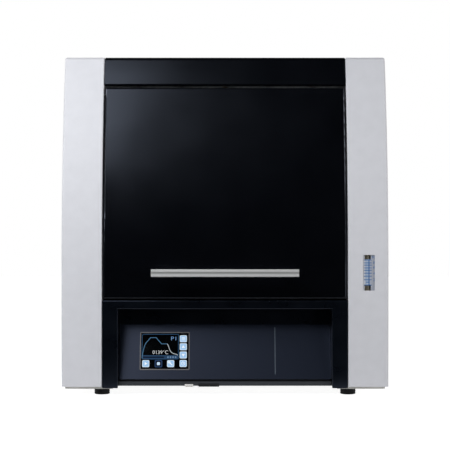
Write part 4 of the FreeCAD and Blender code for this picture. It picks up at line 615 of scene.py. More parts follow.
def raised(shape, low, high, place):
    """A flat shape given thickness from low to high: its faces at both levels, and a wall on each edge
    that only one face has. A shape drawn clockwise is turned over first."""
    points, faces = shape
    count = len(points)
    edges = [(face[k - 1], face[k]) for face in faces for k in range(len(face))]
    if sum(points[a][0] * points[b][1] - points[b][0] * points[a][1] for a, b in edges) < 0.0:
        faces = [face[::-1] for face in faces]
        edges = [(b, a) for a, b in edges]
    known = set(edges)
    walls = [[a, b, b + count, a + count] for a, b in edges if (b, a) not in known]
    below = [face[::-1] for face in faces]
    above = [[corner + count for corner in face] for face in faces]
    return np.vstack([place(points, low), place(points, high)]), below + above + walls


def joined(shapes):
    """Several shapes as one list of vertices and one of faces."""
    points = np.vstack([p for p, _ in shapes])
    starts = np.cumsum([0] + [len(p) for p, _ in shapes])
    faces = [
        [corner + int(start) for corner in face] for (_, some), start in zip(shapes, starts) for face in some]
    return points, faces


def as_mesh(name, points, faces, material):
    """A mesh of one material."""
    mesh = bpy.data.meshes.new(name)
    mesh.from_pydata(points.tolist(), [], faces)
    mesh.materials.append(material)
    return mesh


def placed(name, data):
    """A new object in the scene that holds a mesh, a light or a camera."""
    thing = bpy.data.objects.new(name, data)
    bpy.context.scene.collection.objects.link(thing)
    return thing


def make_piece(name, shapes, look, body, slot=None, replaced=(), sharp_angle=40.0, ink=None):
    """Puts the shapes in one mesh that rides on a body. The slot argument is not used; ink is a colour for
    each vertex."""
    slot = slot or look
    mesh = as_mesh(name, *joined(shapes), finish(look))
    mesh.polygons.foreach_set("use_smooth", np.ones(len(mesh.polygons), bool))
    mesh.set_sharp_from_angle(angle=radians(sharp_angle))
    if ink is not None:
        layer = mesh.color_attributes.new(name="ink", type="FLOAT_COLOR", domain="POINT")
        layer.data.foreach_set("color", np.asarray(ink, np.float32).ravel())
    mesh.update()
    piece = placed(name, mesh)
    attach(piece, body)
    if replaced:
        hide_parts(*replaced)


def vertex_points(mesh):
    """The places of a mesh's vertices, one to a row."""
    points = np.empty(len(mesh.vertices) * 3)
    mesh.vertices.foreach_get("co", points)
    return points.reshape(-1, 3)


class Side:
    """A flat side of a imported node: its middle, its size and its three directions."""

    def __init__(self, node, facing):
        """Finds the side in the plane of the face that has the greatest area times the fourth power of how
        far it looks the wanted way."""
        mesh = frame["nodes"][node].data
        count = len(mesh.polygons)
        normals = np.empty(count * 3)
        areas = np.empty(count)
        mesh.polygons.foreach_get("normal", normals)
        mesh.polygons.foreach_get("area", areas)
        normals = normals.reshape(-1, 3)
        toward = normals @ (np.array(facing, float) / np.linalg.norm(facing))
        best = int(np.argmax(areas * np.clip(toward, 0.0, 1.0) ** 4))
        self.out = normals[best]
        self.right = np.cross((0.0, 0.0, 1.0), self.out)
        self.right /= np.linalg.norm(self.right)
        self.up = np.cross(self.out, self.right)
        points = vertex_points(mesh)
        height = points @ self.out
        level = points[mesh.polygons[best].vertices[0]] @ self.out
        flat = points[np.abs(height - level) < 0.02 * MM]
        u = flat @ self.right
        v = flat @ self.up
        self.half_width = (u.max() - u.min()) / 2.0
        self.half_height = (v.max() - v.min()) / 2.0
        self.middle = (
            self.right * (u.max() + u.min()) / 2.0 + self.up * (v.max() + v.min()) / 2.0 + self.out * level)

    def place(self, outline, lift):
        """Points of an outline in the side's own right and up, lifted off it."""
        outline = np.asarray(outline, float)
        return self.middle + outline[:, :1] * self.right + outline[:, 1:] * self.up + lift * self.out


def solids(node):
    """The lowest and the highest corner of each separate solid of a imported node: vertices at one place are
    one, and the lowest number among a triangle's corners spreads over it until nothing changes."""
    mesh = frame["nodes"][node].data
    mesh.calc_loop_triangles()
    points = vertex_points(mesh)
    corners = np.empty(len(mesh.loop_triangles) * 3, np.int32)
    mesh.loop_triangles.foreach_get("vertices", corners)
    _, same = np.unique(np.round(points, 6), axis=0, return_inverse=True)
    same = same.ravel()
    corners = same[corners].reshape(-1, 3)
    label = np.arange(same.max() + 1)
    before = None
    while before is None or (before != label).any():
        before = label.copy()
        lowest = label[corners].min(axis=1)
        np.minimum.at(label, corners.ravel(), np.repeat(lowest, 3))
    found = label[same]
    return [(points[found == k].min(axis=0), points[found == k].max(axis=0)) for k in np.unique(found)]


# The display

PIXEL_LIFT = 0.04 * MM
LAYER_LIFT = 0.02 * MM
LAYER_THICKNESS = 0.015 * MM


def stroke(points, width):
    """A line of even width along points: each point moved half a width to both sides of the line. A line
    that ends where it starts is joined there."""
    points = np.array(points, float)
    ring = np.allclose(points[0], points[-1])
    if ring:
        points = points[:-1]
        along = np.roll(points, -1, axis=0) - np.roll(points, 1, axis=0)
    else:
        along = np.gradient(points, axis=0)
    across = np.stack([-along[:, 1], along[:, 0]], axis=1)
    across *= width / 2.0 / np.linalg.norm(across, axis=1)[:, None]
    ribbon = np.stack([points + across, points - across], axis=1)
    flat = np.concatenate([ribbon, np.zeros(ribbon.shape[:2] + (1,))], axis=2)
    vertices, faces = grid(flat, closed_rows=ring)
    return vertices[:, :2], faces


def eased(points):
    """A smooth line of 60 steps through points: each stretch is the cubic (2s^3 - 3s^2 + 1) a +
    (s^3 - 2s^2 + s) p + (3s^2 - 2s^3) b + (s^3 - s^2) q, where p and q are the directions at its ends a
    and b."""
    points = np.array(points, float)
    t = np.linspace(0.0, len(points) - 1.0, 60)
    i = np.clip(t.astype(int), 0, len(points) - 2)
    s = (t - i)[:, None]
    slope = np.gradient(points, axis=0)
    a, b = points[i], points[i + 1]
    return (
        (2 * s ** 3 - 3 * s ** 2 + 1) * a + (s ** 3 - 2 * s ** 2 + s) * slope[i]
        + (3 * s ** 2 - 2 * s ** 3) * b + (s ** 3 - s ** 2) * slope[i + 1])


def filled(outline):
    """A flat shape of one face inside an outline."""
    return np.asarray(outline, float), [list(range(len(outline)))]


def moved(shape, u, v):
    """A flat shape shifted by u and v."""
    return shape[0] + (u, v), shape[1]


def tile(half_u, half_v, corner, u, v, count=6):
    """A rectangle with round corners as one flat face round u, v."""
    return moved(filled(rounded_outline(half_u, half_v, corner, count)), u, v)


def written(body, u, v, width, height, weight):
    """Letters or figures as flat faces that fill a box whose middle is at u, v. The weight moves their
    outlines outwards, or inwards where it is below 0."""
    curve = bpy.data.curves.new("letters", "FONT")
    curve.body = body
    curve.offset = weight
    curve.resolution_u = 3
    letters = bpy.data.objects.new("letters", curve)
    mesh = bpy.data.meshes.new_from_object(letters)
    points = vertex_points(mesh)[:, :2]
    faces = [list(face.vertices) for face in mesh.polygons]
    bpy.data.objects.remove(letters)
    bpy.data.curves.remove(curve)
    bpy.data.meshes.remove(mesh)
    low, high = points.min(axis=0), points.max(axis=0)
    points = (points - (low + high) / 2.0) / (high - low) * (width, height) + (u, v)
    return points, faces


def display_layers():
    """What the display shows, in millimetres from its middle: a list of colour, level and flat shape."""
    box = rounded_outline(31.5, 22.1, 0.3, 2)
    frame_line = np.vstack([box, box[:1]])
    rise = [(-38.9, -13.2), (-38.9, -8.5), (-36.9, 2.6), (-34.1, 11.8), (-31.6, 15.9)]
    slope_up = [(-31.6, 15.9), (-24.9, 23.9)]
    plateau = [(-25.6, 23.9), (-14.6, 23.9)]
    slope_down = [(-15.3, 23.9), (-5.7, 12.8)]
    step = [(-6.4, 12.8), (4.4, 12.8)]
    tail = [(4.2, 12.8), (6.3, 8.6), (8.2, 3.0), (11.1, -1.9), (15.4, -4.6), (19.6, -5.8), (22.6, -7.2)]
    line_width = 1.05
    layers = [
        ("#2a4b6b", 0, moved(stroke(evenly(frame_line, 60)[0], line_width), -8.0, 7.8)),
        ("#27425f", 1, tile(31.3, 3.4, 0.2, -8.0, -10.9, 2)),
        ("#101d33", 2, tile(18.6, 1.5, 0.3, -19.6, -11.2, 2)),
        ("#b9c0c6", 2, stroke(eased(tail), line_width)),
        ("#e9ecee", 2, written("0139°C", -7.7, -2.1, 26.6, 6.6, -0.012)),
        ("#7ea7d8", 2, written("P1", 15.1, 22.3, 8.6, 6.6, -0.012)),
    ]
    for line in (eased(rise), slope_up, plateau, slope_down, step):
        layers.append(("#4f7899", 2, stroke(line, line_width)))
    for k in range(4):
        layers.append(("#6a87a8", 2, tile(1.3, 1.5, 0.3, 5.6 + 4.4 * k, -11.1, 3)))
    return layers + button_layers()


def button_layers():
    """The touch keys: pale rounded squares with a lighter rim and a plain sign on each, and the dark stop
    key. Half sizes and places are in millimetres."""
    rim, key = 6.1, 5.25
    arrow = np.array([(-1.9, -2.9), (2.9, 0.0), (-1.9, 2.9)])
    signs = {
        "start": [filled(arrow)],
        "rise": [filled(arrow[:, ::-1] * (1.0, 1.0))],
        "fall": [filled(arrow[:, ::-1] * (1.0, -1.0))],
        "list": [tile(3.2, 0.5, 0.2, 0.0, v, 2) for v in (-2.2, 0.0, 2.2)],
        "hour": [stroke(2.9 * ring_line(24), 0.9), stroke([(0.0, 0.0), (0.0, 2.0)], 0.8),
                 stroke([(0.0, 0.0), (1.6, 0.0)], 0.8)],
        "tool": [stroke([(-2.4, 2.4), (2.9, -2.9)], 1.7), moved(stroke(1.7 * ring_line(18), 1.2), -2.6, 2.6)],
    }
    places = [
        ("list", 32.0, 21.9), ("rise", 32.0, 7.5), ("fall", 32.0, -7.1), ("hour", 32.0, -22.2),
        ("start", -32.6, -22.5), ("tool", 10.4, -22.5)]
    layers = []
    for sign, u, v in places:
        layers.append(("#e4f3ff", 1, tile(rim, rim, 1.9, u, v)))
        layers.append(("#a5cdf3", 2, tile(key, key, 1.4, u, v)))
        for shape in signs[sign]:
            layers.append(("#f4faff", 3, moved(shape, u, v)))
    for code, level, half, corner in (
            ("#2c4263", 1, 6.5, 2.2), ("#0a1226", 2, 4.9, 1.3), ("#c9e2fa", 3, 2.6, 0.9)):
        layers.append((code, level, tile(half, half, corner, -10.7, -22.5)))
    return layers


def ring_line(count):
    """A circle of radius 1 as a line that ends where it starts."""
    angle = np.linspace(0.0, 2.0 * pi, count)
    return np.stack([np.cos(angle), np.sin(angle)], axis=1)


class FURNACE_OT_display(bpy.types.Operator):
    """Draws the firing curve, the reading and the touch keys on the display"""
    bl_idname = "furnace.display"
    bl_label = "Display"

    def execute(self, context):
        glass = Side("display_screen", (0.0, -1.0, 0.0))
        shapes, ink = [], []
        for code, level, (points, faces) in display_layers():
            top = PIXEL_LIFT + level * LAYER_LIFT
            shapes.append(raised((points * MM, faces), top - LAYER_THICKNESS, top, glass.place))
            ink.append(np.tile(rgba(code), (len(shapes[-1][0]), 1)))
        make_piece("display_picture", shapes, "display_light", "housing", "screen_glass", ink=np.vstack(ink))
        return {"FINISHED"}


class FURNACE_OT_panel_trim(bpy.types.Operator):
    """Lays the upright line on the control panel"""
    bl_idname = "furnace.panel_trim"
    bl_label = "Panel trim"

    def execute(self, context):
        sizes = context.scene.furnace_sizes
        face = Side("control_panel", (0.0, -1.0, 0.0))
        line_x = 86.7 * MM
        bare_below = 8.5 * MM
        bare_above = 5.0 * MM
        line_thickness = 0.12 * MM
        low = bare_below - face.half_height
        high = face.half_height - bare_above
        half = sizes.trim_width / 2.0
        outline = rounded_outline(half, (high - low) / 2.0, half * 0.98, 4)
        outline = outline + (line_x - face.middle[0], (high + low) / 2.0)
        line = slab(outline, 0.0, line_thickness, face.place)
        make_piece("panel_trim_line", [line], "trim_line", "housing", "panel_face")
        return {"FINISHED"}


class FURNACE_OT_panel_seals(bpy.types.Operator):
    """Closes the gaps above and below the control panel with strips of foam rubber"""
    bl_idname = "furnace.panel_seals"
    bl_label = "Panel seals"

    def execute(self, context):
        low, high = span("control_panel")
        wall = 2.5 * MM
        sill_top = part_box("front_sill")[1][2]
        inset = 1.0 * MM
        corner = 0.5 * MM
        # The upper strip stands behind the panel's top edge, and the lower one on the sill behind its foot
        upper = (high[1] + wall, high[1] + wall + 4.0 * MM, high[2] - 8.0 * MM, high[2] + 6.0 * MM)
        lower = (low[1] + 3.2 * MM, low[1] + 5.6 * MM, sill_top, sill_top + 4.3 * MM)
        shapes = []
        for y0, y1, z0, z1 in (upper, lower):
            section = rounded_outline((y1 - y0) / 2.0, (z1 - z0) / 2.0, corner, 4)
            section = section + ((y0 + y1) / 2.0, (z0 + z1) / 2.0)
            ends = [np.insert(section, 0, x, axis=1) for x in (low[0] + inset, high[0] - inset)]
            shapes.append(grid(np.stack(ends), closed_columns=True, capped=True))
        make_piece("panel_foam_strips", shapes, "foam_rubber", "housing", "black_rubber")
        return {"FINISHED"}


class FURNACE_OT_sill_fittings(bpy.types.Operator):
    """Brings the shell of the service socket and the tab of the port plug to the front of the sill"""
    bl_idname = "furnace.sill_fittings"
    bl_label = "Sill fittings"

    def execute(self, context):
        _, front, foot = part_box("front_sill")[0]
        hang = 0.2 * MM
        corner = 0.6 * MM
        sunk = 0.4 * MM

        def plate(node, margin, above, thickness):
            """A flat plate with round corners before the node, hanging a little below the sill's edge."""
            low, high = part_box(node)
            outline = rounded_outline((high[0] - low[0]) / 2.0 + margin, (above + hang) / 2.0, corner, 4)
            outline = outline + ((low[0] + high[0]) / 2.0, foot + (above - hang) / 2.0)
            return slab(outline, -sunk, thickness, facing_front(front))

        shell = plate("usb_socket", 0.2 * MM, 3.1 * MM, 0.7 * MM)
        make_piece("socket_shell", [shell], "tin_plate", "housing", "nickel_plate")
        # The foam plate behind the socket's shell stands 1.4 mm higher than it and shows as a dark band above
        # it: painted shade of the slot over the socket
        seals = [
            plate("usb_socket", 0.7 * MM, 4.5 * MM, 0.3 * MM), plate("port_plug", 0.0, 4.0 * MM, 0.5 * MM)]
        make_piece("socket_and_plug_seals", seals, "foam_rubber", "housing", "black_rubber")
        return {"FINISHED"}


# The flow meter. Rises of lines and figures are in millimetres above the window's lower edge

# Half width of the bore round the ball and round the fittings
METER_SLOT_HALF = 3.75 * MM
METER_SEAT_HALF = 5.4 * MM
METER_CORNER = 1.0 * MM
METER_STEP = 0.4 * MM
METER_FRONT_WALL = 0.6 * MM
METER_FIGURES = ((57.0, "10"), (47.8, "8"), (39.6, "6"), (29.4, "4"), (18.3, "2"))
METER_LINES = (52.1, 47.2, 43.4, 38.6, 34.5, 29.6, 24.5, 18.3, 14.2, 9.3)
METER_WINDOW_RISE = 8.6 * MM
METER_MARK_HALF = 6.7 * MM
METER_SHORT_MARK_HALF = 3.0 * MM
METER_MARK_SHIFT = 0.3 * MM
# Width of a figure, height, and the place right of the bore of one figure and of a pair
FIGURE_WIDTH = 3.4
FIGURE_HEIGHT = 4.8
FIGURE_SHIFT = (11.3 * MM, 10.6 * MM)
# The printed ink lies between these two heights over the block's front
INK_LEVELS = (0.02 * MM, 0.05 * MM)


def meter_block():
    """The block with its bore open to the front: straight sides and a half-round bore, whose half width
    is that of the fittings at both ends and that of the ball between them."""
    low, high = span("flowmeter_body")
    ball_low, ball_high = span("flowmeter_float")
    bore = (ball_low + ball_high) / 2.0
    inside = np.linspace(0.0, pi, 17)
    seats = sorted(solids("flowmeter_fittings"), key=lambda box: box[0][2])
    tube = (seats[0][1][2], seats[-1][0][2])
    levels = [
        (low[2], METER_SEAT_HALF), (tube[0], METER_SEAT_HALF), (tube[0] + METER_STEP, METER_SLOT_HALF),
        (tube[1] - METER_STEP, METER_SLOT_HALF), (tube[1], METER_SEAT_HALF), (high[2], METER_SEAT_HALF)]
    rows = []
    for z, half in levels:
        wall = np.stack([bore[0] - half * np.cos(inside), bore[1] + half * np.sin(inside)], axis=1)
        plan = np.vstack([
            [(bore[0] - half, low[1])], wall, [(bore[0] + half, low[1])],
            [(high[0] - METER_CORNER, low[1]), (high[0], low[1] + METER_CORNER), (high[0], high[1]),
             (low[0], high[1]), (low[0], low[1] + METER_CORNER), (low[0] + METER_CORNER, low[1])]])
        rows.append(np.hstack([plan, np.full((len(plan), 1), z)]))
    return grid(np.stack(rows), closed_columns=True, capped=True), bore, low, tube


class FURNACE_OT_flow_meter(bpy.types.Operator):
    """Makes the block, the bore and the printed scale of the flow meter"""
    bl_idname = "furnace.flow_meter"
    bl_label = "Flow meter"

    def execute(self, context):
        sizes = context.scene.furnace_sizes
        block, bore, low, tube = meter_block()
        make_piece("flowmeter_block", [block], "clear_acrylic", "housing", replaced=["flowmeter_body"])
        face = facing_front(low[1])
        film = rounded_outline(METER_SLOT_HALF, (tube[1] - tube[0]) / 2.0, 0.2 * MM, 2)
        film = film + (bore[0], (tube[0] + tube[1]) / 2.0)
        front = slab(film, -METER_FRONT_WALL, 0.0, face)
        make_piece("flowmeter_bore_front", [front], "bore_front", "housing", "clear_acrylic")
        sill = low[2] + METER_WINDOW_RISE
        half_thick = sizes.tick_thickness / 2.0
        marks = []
        for k, rise in enumerate(METER_LINES):
            half_long = METER_SHORT_MARK_HALF if k == len(METER_LINES) - 2 else METER_MARK_HALF
            outline = rounded_outline(half_long, half_thick, half_thick * 0.5, 2)
            outline = outline + (bore[0] + METER_MARK_SHIFT, sill + rise * MM)
            marks.append(slab(outline, *INK_LEVELS, face))
        for rise, figure in METER_FIGURES:
            points, faces = written(figure, 0.0, 0.0, FIGURE_WIDTH * len(figure), FIGURE_HEIGHT, 0.02)
            points = points * MM + (bore[0] + FIGURE_SHIFT[len(figure) - 1], sill + rise * MM)
            marks.append(raised((points, faces), *INK_LEVELS, face))
        make_piece("flowmeter_scale", marks, "scale_ink", "housing", "clear_acrylic")
        return {"FINISHED"}


# Feet, screws and rivets

class FURNACE_OT_feet(bpy.types.Operator):
    """Turns the four ribbed rubber feet"""
    bl_idname = "furnace.feet"
    bl_label = "Feet"

    def execute(self, context):
        ribs = context.scene.furnace_sizes.foot_ribs
        rib_depth = 0.55 * MM
        sole = 0.16
        rise = np.linspace(0.0, 1.0, 6 * ribs + 1)
        shapes = []
        # Above the sole, the radius waves in by rib_depth * (1 - cos a) / 2, once for each rib
        for low, high in solids("rubber_feet"):
            radius = (high[0] - low[0]) / 2.0
            tall = high[2] - low[2]
            rib_radius = radius - rib_depth * (0.5 - 0.5 * np.cos(2.0 * pi * ribs * rise))
            radii = np.concatenate([[radius - 5.0 * MM, radius - 2.6 * MM, radius - 0.9 * MM], rib_radius])
            heights = np.concatenate([[0.0, 0.0, 0.05 * tall], tall * (sole + (1.0 - sole) * rise)])
            base = ((low[0] + high[0]) / 2.0, (low[1] + high[1]) / 2.0, low[2])
            shapes.append(turned(radii, heights, base, (0.0, 0.0, 1.0), 40))
        make_piece("ribbed_feet", shapes, "black_rubber", "housing", replaced=["rubber_feet"])
        return {"FINISHED"}


def screw_head(radius, height, base, axis):
    """A pan head: its rim falls as height * (0.3 + 0.7 cos f) while its radius grows as 0.62 + 0.38 sin f.
    Its socket is a hexagon, 0.48 of the head wide across the corners and sunk to 0.4 of the height."""
    count = 24
    socket = radius * 0.48 * hexagon(whole_turn(count))
    fall = np.linspace(0.0, pi / 2.0, 6)
    crown = radius * (0.62 + 0.38 * np.sin(fall))
    drop = height * (0.3 + 0.7 * np.cos(fall))
    radii = [radius * 0.1, socket * 0.96, socket, radius * 0.56, *crown, radius]
    heights = [height * 0.4, height * 0.4, height * 0.98, height, *drop, 0.0]
    return turned(radii[::-1], heights[::-1], base, axis, count)


class FURNACE_OT_screws(bpy.types.Operator):
    """Gives the housing its socket-head screws"""
    bl_idname = "furnace.screws"
    bl_label = "Screws"

    def execute(self, context):
        shapes = []
        for low, high in solids("cover_screws"):
            size = high - low
            middle = (low + high) / 2.0
            if size[2] < size[0]:
                base, axis = (middle[0], middle[1], high[2]), (0.0, 0.0, -1.0)
            else:
                base, axis = (middle[0], low[1], middle[2]), (0.0, 1.0, 0.0)
            shapes.append(screw_head(size[0] / 2.0, min(size), base, axis))
        make_piece("socket_screws", shapes, "steel_fasteners", "housing", replaced=["cover_screws"])
        return {"FINISHED"}


def rivets(low, high, count, y, outward, radius, height):
    """Rivets in equal steps along the four edges of an upright rectangle. Each is a low dome with a radius
    of cos a and a height of sin a, whose small flat top lies at 0.9 of the quarter turn."""
    a = np.linspace(0.0, pi / 2.0 * 0.9, 6)
    xs, zs = (np.linspace(low[k], high[k], count) for k in (0, 2))
    spots = [(x, z) for x in xs for z in (zs[0], zs[-1])]
    spots += [(x, z) for z in zs[1:-1] for x in (xs[0], xs[-1])]
    return [
        turned(radius * np.cos(a), height * np.sin(a), (x, y, z), (0.0, outward, 0.0), 16) for x, z in spots]


class FURNACE_OT_door_rivets(bpy.types.Operator):
    """Rivets the inner sheet of the door and the trim round the mouth"""
    bl_idname = "furnace.door_rivets"
    bl_label = "Door rivets"

    def execute(self, context):
        low, high = span("door_liner")
        inset = 11.0 * MM
        shapes = rivets(low + inset, high - inset, 6, high[1], 1.0, 3.0 * MM, 1.1 * MM)
        make_piece("liner_rivets", shapes, "mill_aluminium", "door")
        low, high = span("door_gasket")
        beyond = 12.0 * MM
        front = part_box("hot_box_casing")[0][1]
        shapes = rivets(low - beyond, high + beyond, 4, front, -1.0, 2.4 * MM, 1.0 * MM)
        make_piece("mouth_rivets", shapes, "mill_aluminium", "housing")
        return {"FINISHED"}


class FURNACE_OT_rope_seal(bpy.types.Operator):
    """Braids the rope seal round the plug of the door"""
    bl_idname = "furnace.rope_seal"
    bl_label = "Rope seal"

    def execute(self, context):
        pitch = context.scene.furnace_sizes.braid_pitch
        low, high = span("door_gasket")
        thick = high[1] - low[1]
        width = 10.0 * MM
        half_x = (high[0] - low[0] - width) / 2.0
        half_z = (high[2] - low[2] - width) / 2.0
        outline, length = evenly(rounded_outline(half_x, half_z, width, 8), 900, closed=True)
        path = np.stack([
            outline[:, 0] + (low[0] + high[0]) / 2.0,
            np.full(len(outline), (low[1] + high[1]) / 2.0),
            outline[:, 1] + (low[2] + high[2]) / 2.0], axis=1)
        # The section is |cos a|^0.7 by |sin a|^0.7, between a round and a square. Two families of strands
        # wind round it, sin(turns + 3 a) and sin(turns - 3 a), and the higher of the two lifts the surface
        # by up to 7 percent. A real braid is finer; this one is drawn coarser so that it can be seen
        around = whole_turn(16)
        turns = max(1, round(length / pitch))
        along = np.arange(len(path))[:, None] * 2.0 * pi * turns / len(path)
        left = np.sin(along + 3.0 * around)
        right = np.sin(along - 3.0 * around)
        swell = 0.93 + 0.07 * np.maximum(left, right)
        x = (width / 2.0) * swell * np.sign(np.cos(around)) * np.abs(np.cos(around)) ** 0.7
        y = (thick / 2.0) * swell * np.sign(np.sin(around)) * np.abs(np.sin(around)) ** 0.7
        section = np.stack([x, -y], axis=2)
        rope = swept(path, section, (0.0, 1.0, 0.0), closed=True)
        make_piece("braided_rope_seal", [rope], "seal_rope", "door", replaced=["door_gasket"],
                   sharp_angle=80.0)
        return {"FINISHED"}


# The fan

# Radii, and how far the guard's holes lie from its middle both sideways and up
GUARD_RADIUS = 37.0 * MM
GUARD_HOLE = 35.75 * MM
GUARD_EYE = 3.2 * MM
GUARD_SCREW = 2.6 * MM
BLADES = 7
BLADE_TIP = 36.4 * MM
HUB_RADIUS = 16.0 * MM
HUB_BEVEL = 1.5 * MM


class FURNACE_OT_fan(bpy.types.Operator):
    """Bends the wires of the finger guard and shapes the blades of the rotor"""
    bl_idname = "furnace.fan"
    bl_label = "Fan"

    def execute(self, context):
        self.make_guard(context.scene.furnace_sizes.guard_wire)
        self.make_rotor()
        return {"FINISHED"}

    def make_guard(self, wire):
        """Round wire swept along four circles, centre + k/4 of the outer radius * (cos a, sin a), along four
        spokes at 45 degrees to the upright, and round the eye at the end of each spoke."""
        low, high = span("fan_guard")
        centre = sum(span("fan_rotor")) / 2.0 * (1.0, 0.0, 1.0)
        section = round_section(wire / 2.0)
        angle = whole_turn(64)
        circle = np.stack([np.cos(angle), np.zeros(64), np.sin(angle)], axis=1)
        middle = centre + (0.0, high[1] - wire / 2.0, 0.0)
        out = (0.0, 1.0, 0.0)
        tip = GUARD_HOLE * 2.0 ** 0.5
        shapes = [
            swept(circle * GUARD_RADIUS * share + middle, section, out, closed=True)
            for share in (0.25, 0.5, 0.75, 1.0)]
        screws = []
        for a in pi / 4.0 + whole_turn(4):
            along = np.array([np.cos(a), 0.0, np.sin(a)])
            spoke = np.linspace(GUARD_RADIUS / 4.0, tip - GUARD_EYE, 4)[:, None] * along + middle
            shapes.append(swept(spoke, section, out))
            shapes.append(swept(circle[::4] * GUARD_EYE + along * tip + middle, section, out, closed=True))
            seat = along * tip + centre + (0.0, low[1], 0.0)
            screws.append(screw_head(GUARD_SCREW, high[1] - low[1], seat, out))
        make_piece("wire_guard", shapes, "steel_fasteners", "housing", replaced=["fan_guard"],
                   sharp_angle=80.0)
        make_piece("guard_screws", screws, "steel_fasteners", "housing")

    def make_rotor(self):
        """A blade's section at radius r is the loop chord/2 * cos t along by 0.65 sin t + 1.6 sin^2 t
        millimetres across, turned by the pitch; the pitch falls from 46 to 30 degrees and the chord grows
        from 15 to 24 mm on the way out, while the blade leans on by 0.3 share^1.5 radians. Each loop is
        wrapped on the cylinder of its radius. The hub is turned, with a rounded back edge."""
        low, high = span("fan_rotor")
        centre = (low + high) / 2.0
        tip = min((high[2] - low[2]) / 2.0, BLADE_TIP)
        # The roots start a little inside the hub
        root = HUB_RADIUS * 0.97
        deep = high[1] - low[1]
        share = np.linspace(0.0, 1.0, 10)[:, None]
        loop = -whole_turn(24)
        radius = root + (tip - root) * share
        chord = (15.0 + 9.0 * share) * MM
        pitch = np.radians(46.0 - 16.0 * share)
        along = chord / 2.0 * np.cos(loop)
        camber = 1.6 * MM * (1.0 - np.cos(loop) ** 2)
        thick = 0.65 * MM * np.sin(loop) + camber
        tangential = along * np.cos(pitch) - thick * np.sin(pitch)
        axial = along * np.sin(pitch) + thick * np.cos(pitch)
        clear = deep / 2.0 - 0.4 * MM
        axial = np.clip(axial, -clear, clear)
        sweep = 0.30 * share ** 1.5
        shapes = []
        for start in whole_turn(BLADES):
            a = start + sweep + tangential / radius
            points = np.stack([radius * np.cos(a), axial, radius * np.sin(a)], axis=2) + centre
            shapes.append(grid(points, closed_columns=True, capped=True))
        turn = np.linspace(0.0, pi / 2.0, 5)
        edge = 0.4 * MM
        front_cap, back_cap = 6.0 * MM, 9.0 * MM
        radii = [
            front_cap, HUB_RADIUS - edge, HUB_RADIUS, *(HUB_RADIUS - HUB_BEVEL + HUB_BEVEL * np.cos(turn)),
            back_cap]
        heights = [0.0, 0.0, edge, *(deep - HUB_BEVEL + HUB_BEVEL * np.sin(turn)), deep]
        shapes.append(turned(radii, heights, (centre[0], low[1], centre[2]), (0.0, 1.0, 0.0), 48))
        make_piece("fan_blades", shapes, "black_electrical", "rotor", replaced=["fan_rotor"],
                   sharp_angle=50.0)


# Mains inlet and gas inlet

class FURNACE_OT_mains_details(bpy.types.Operator):
    """Puts the plated pins in the mains socket and the signs on the rocker"""
    bl_idname = "furnace.mains_details"
    bl_label = "Mains details"

    def execute(self, context):
        low, high = span("mains_inlet")
        middle_x = (low[0] + high[0]) / 2.0
        socket_foot = 5.0 * MM
        socket_tall = 16.4 * MM
        middle_z = low[2] + socket_foot + socket_tall / 2.0
        root = high[1] - 15.0 * MM
        tip = high[1] - 2.9 * MM
        # Each pin is a rounded rectangle carried along y, with a tip drawn in to 0.6 of its size. Its place
        # is in millimetres from the socket's middle
        outline = rounded_outline(1.06 * MM, 2.06 * MM, 0.3 * MM, 3)[::-1]
        flat = outline * np.array([1.0, 1.0, 0.6])[:, None, None]
        y = np.broadcast_to(np.array([root, tip - 1.0 * MM, tip])[:, None], flat.shape[:2])
        shapes = []
        for dx, dz in ((-7.0, -1.5), (0.0, 2.5), (7.0, -1.5)):
            x = middle_x + dx * MM + flat[:, :, 0]
            z = middle_z + dz * MM + flat[:, :, 1]
            shapes.append(grid(np.stack([x, y, z], axis=2), closed_columns=True, capped=True))
        make_piece("socket_pins", shapes, "nickel_plate", "housing")
        tilt = 0.35
        print_thickness = 0.03 * MM
        bar = slab(rounded_outline(0.35 * MM, 1.7 * MM, 0.15 * MM, 3), 0.0, print_thickness,
                   Side("power_rocker", (0.0, 1.0, tilt)).place)
        ring = raised(stroke(1.6 * MM * ring_line(25), 0.6 * MM), 0.0, print_thickness,
                      Side("power_rocker", (0.0, 1.0, -tilt)).place)
        make_piece("rocker_signs", [bar, ring], "pad_print", "rocker", "rocker_plastic")
        return {"FINISHED"}


class FURNACE_OT_gas_fitting(bpy.types.Operator):
    """Turns the push-in gas fitting with its hexagon and its release ring"""
    bl_idname = "furnace.gas_fitting"
    bl_label = "Gas fitting"

    def execute(self, context):
        low, high = span("gas_inlet")
        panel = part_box("rear_panel")[1][1]
        count = 48
        base = ((low[0] + high[0]) / 2.0, panel, (low[2] + high[2]) / 2.0)
        inner_end = low[1] - panel
        outer_end = high[1] - panel
        bore, thread, body, collar = 3.0 * MM, 6.7 * MM, 8.8 * MM, 7.2 * MM
        nut = 10.2 * MM * hexagon(whole_turn(count))

        def fitting(profile):
            """A closed profile of radii and distances from the panel, turned round the bore."""
            return [turned(*zip(*profile), base, (0.0, 1.0, 0.0), count, True)]

        # The nut's hexagon stands 6 mm out from the panel; all the rest is round
        metal = fitting([
            (bore, inner_end), (thread, inner_end), (thread, 0.0), (nut, 0.0), (nut, 6.0 * MM),
            (body, 6.6 * MM), (body, outer_end - 11.0 * MM), (collar, outer_end - 9.6 * MM),
            (collar, outer_end - 2.0 * MM), (6.6 * MM, outer_end - 1.6 * MM), (bore, outer_end - 1.6 * MM)])
        make_piece("gas_fitting_body", metal, "nickel_plate", "housing", replaced=["gas_inlet"])
        ring = fitting([
            (bore, outer_end - 1.5 * MM), (5.9 * MM, outer_end - 1.5 * MM), (6.2 * MM, outer_end - 1.3 * MM),
            (6.2 * MM, outer_end - 0.4 * MM), (5.9 * MM, outer_end), (3.6 * MM, outer_end),
            (bore, outer_end - 0.5 * MM)])
        make_piece("gas_release_ring", ring, "release_ring", "housing", "gas_hose")
        return {"FINISHED"}


# Stage, in metres but for strengths, degrees and colours

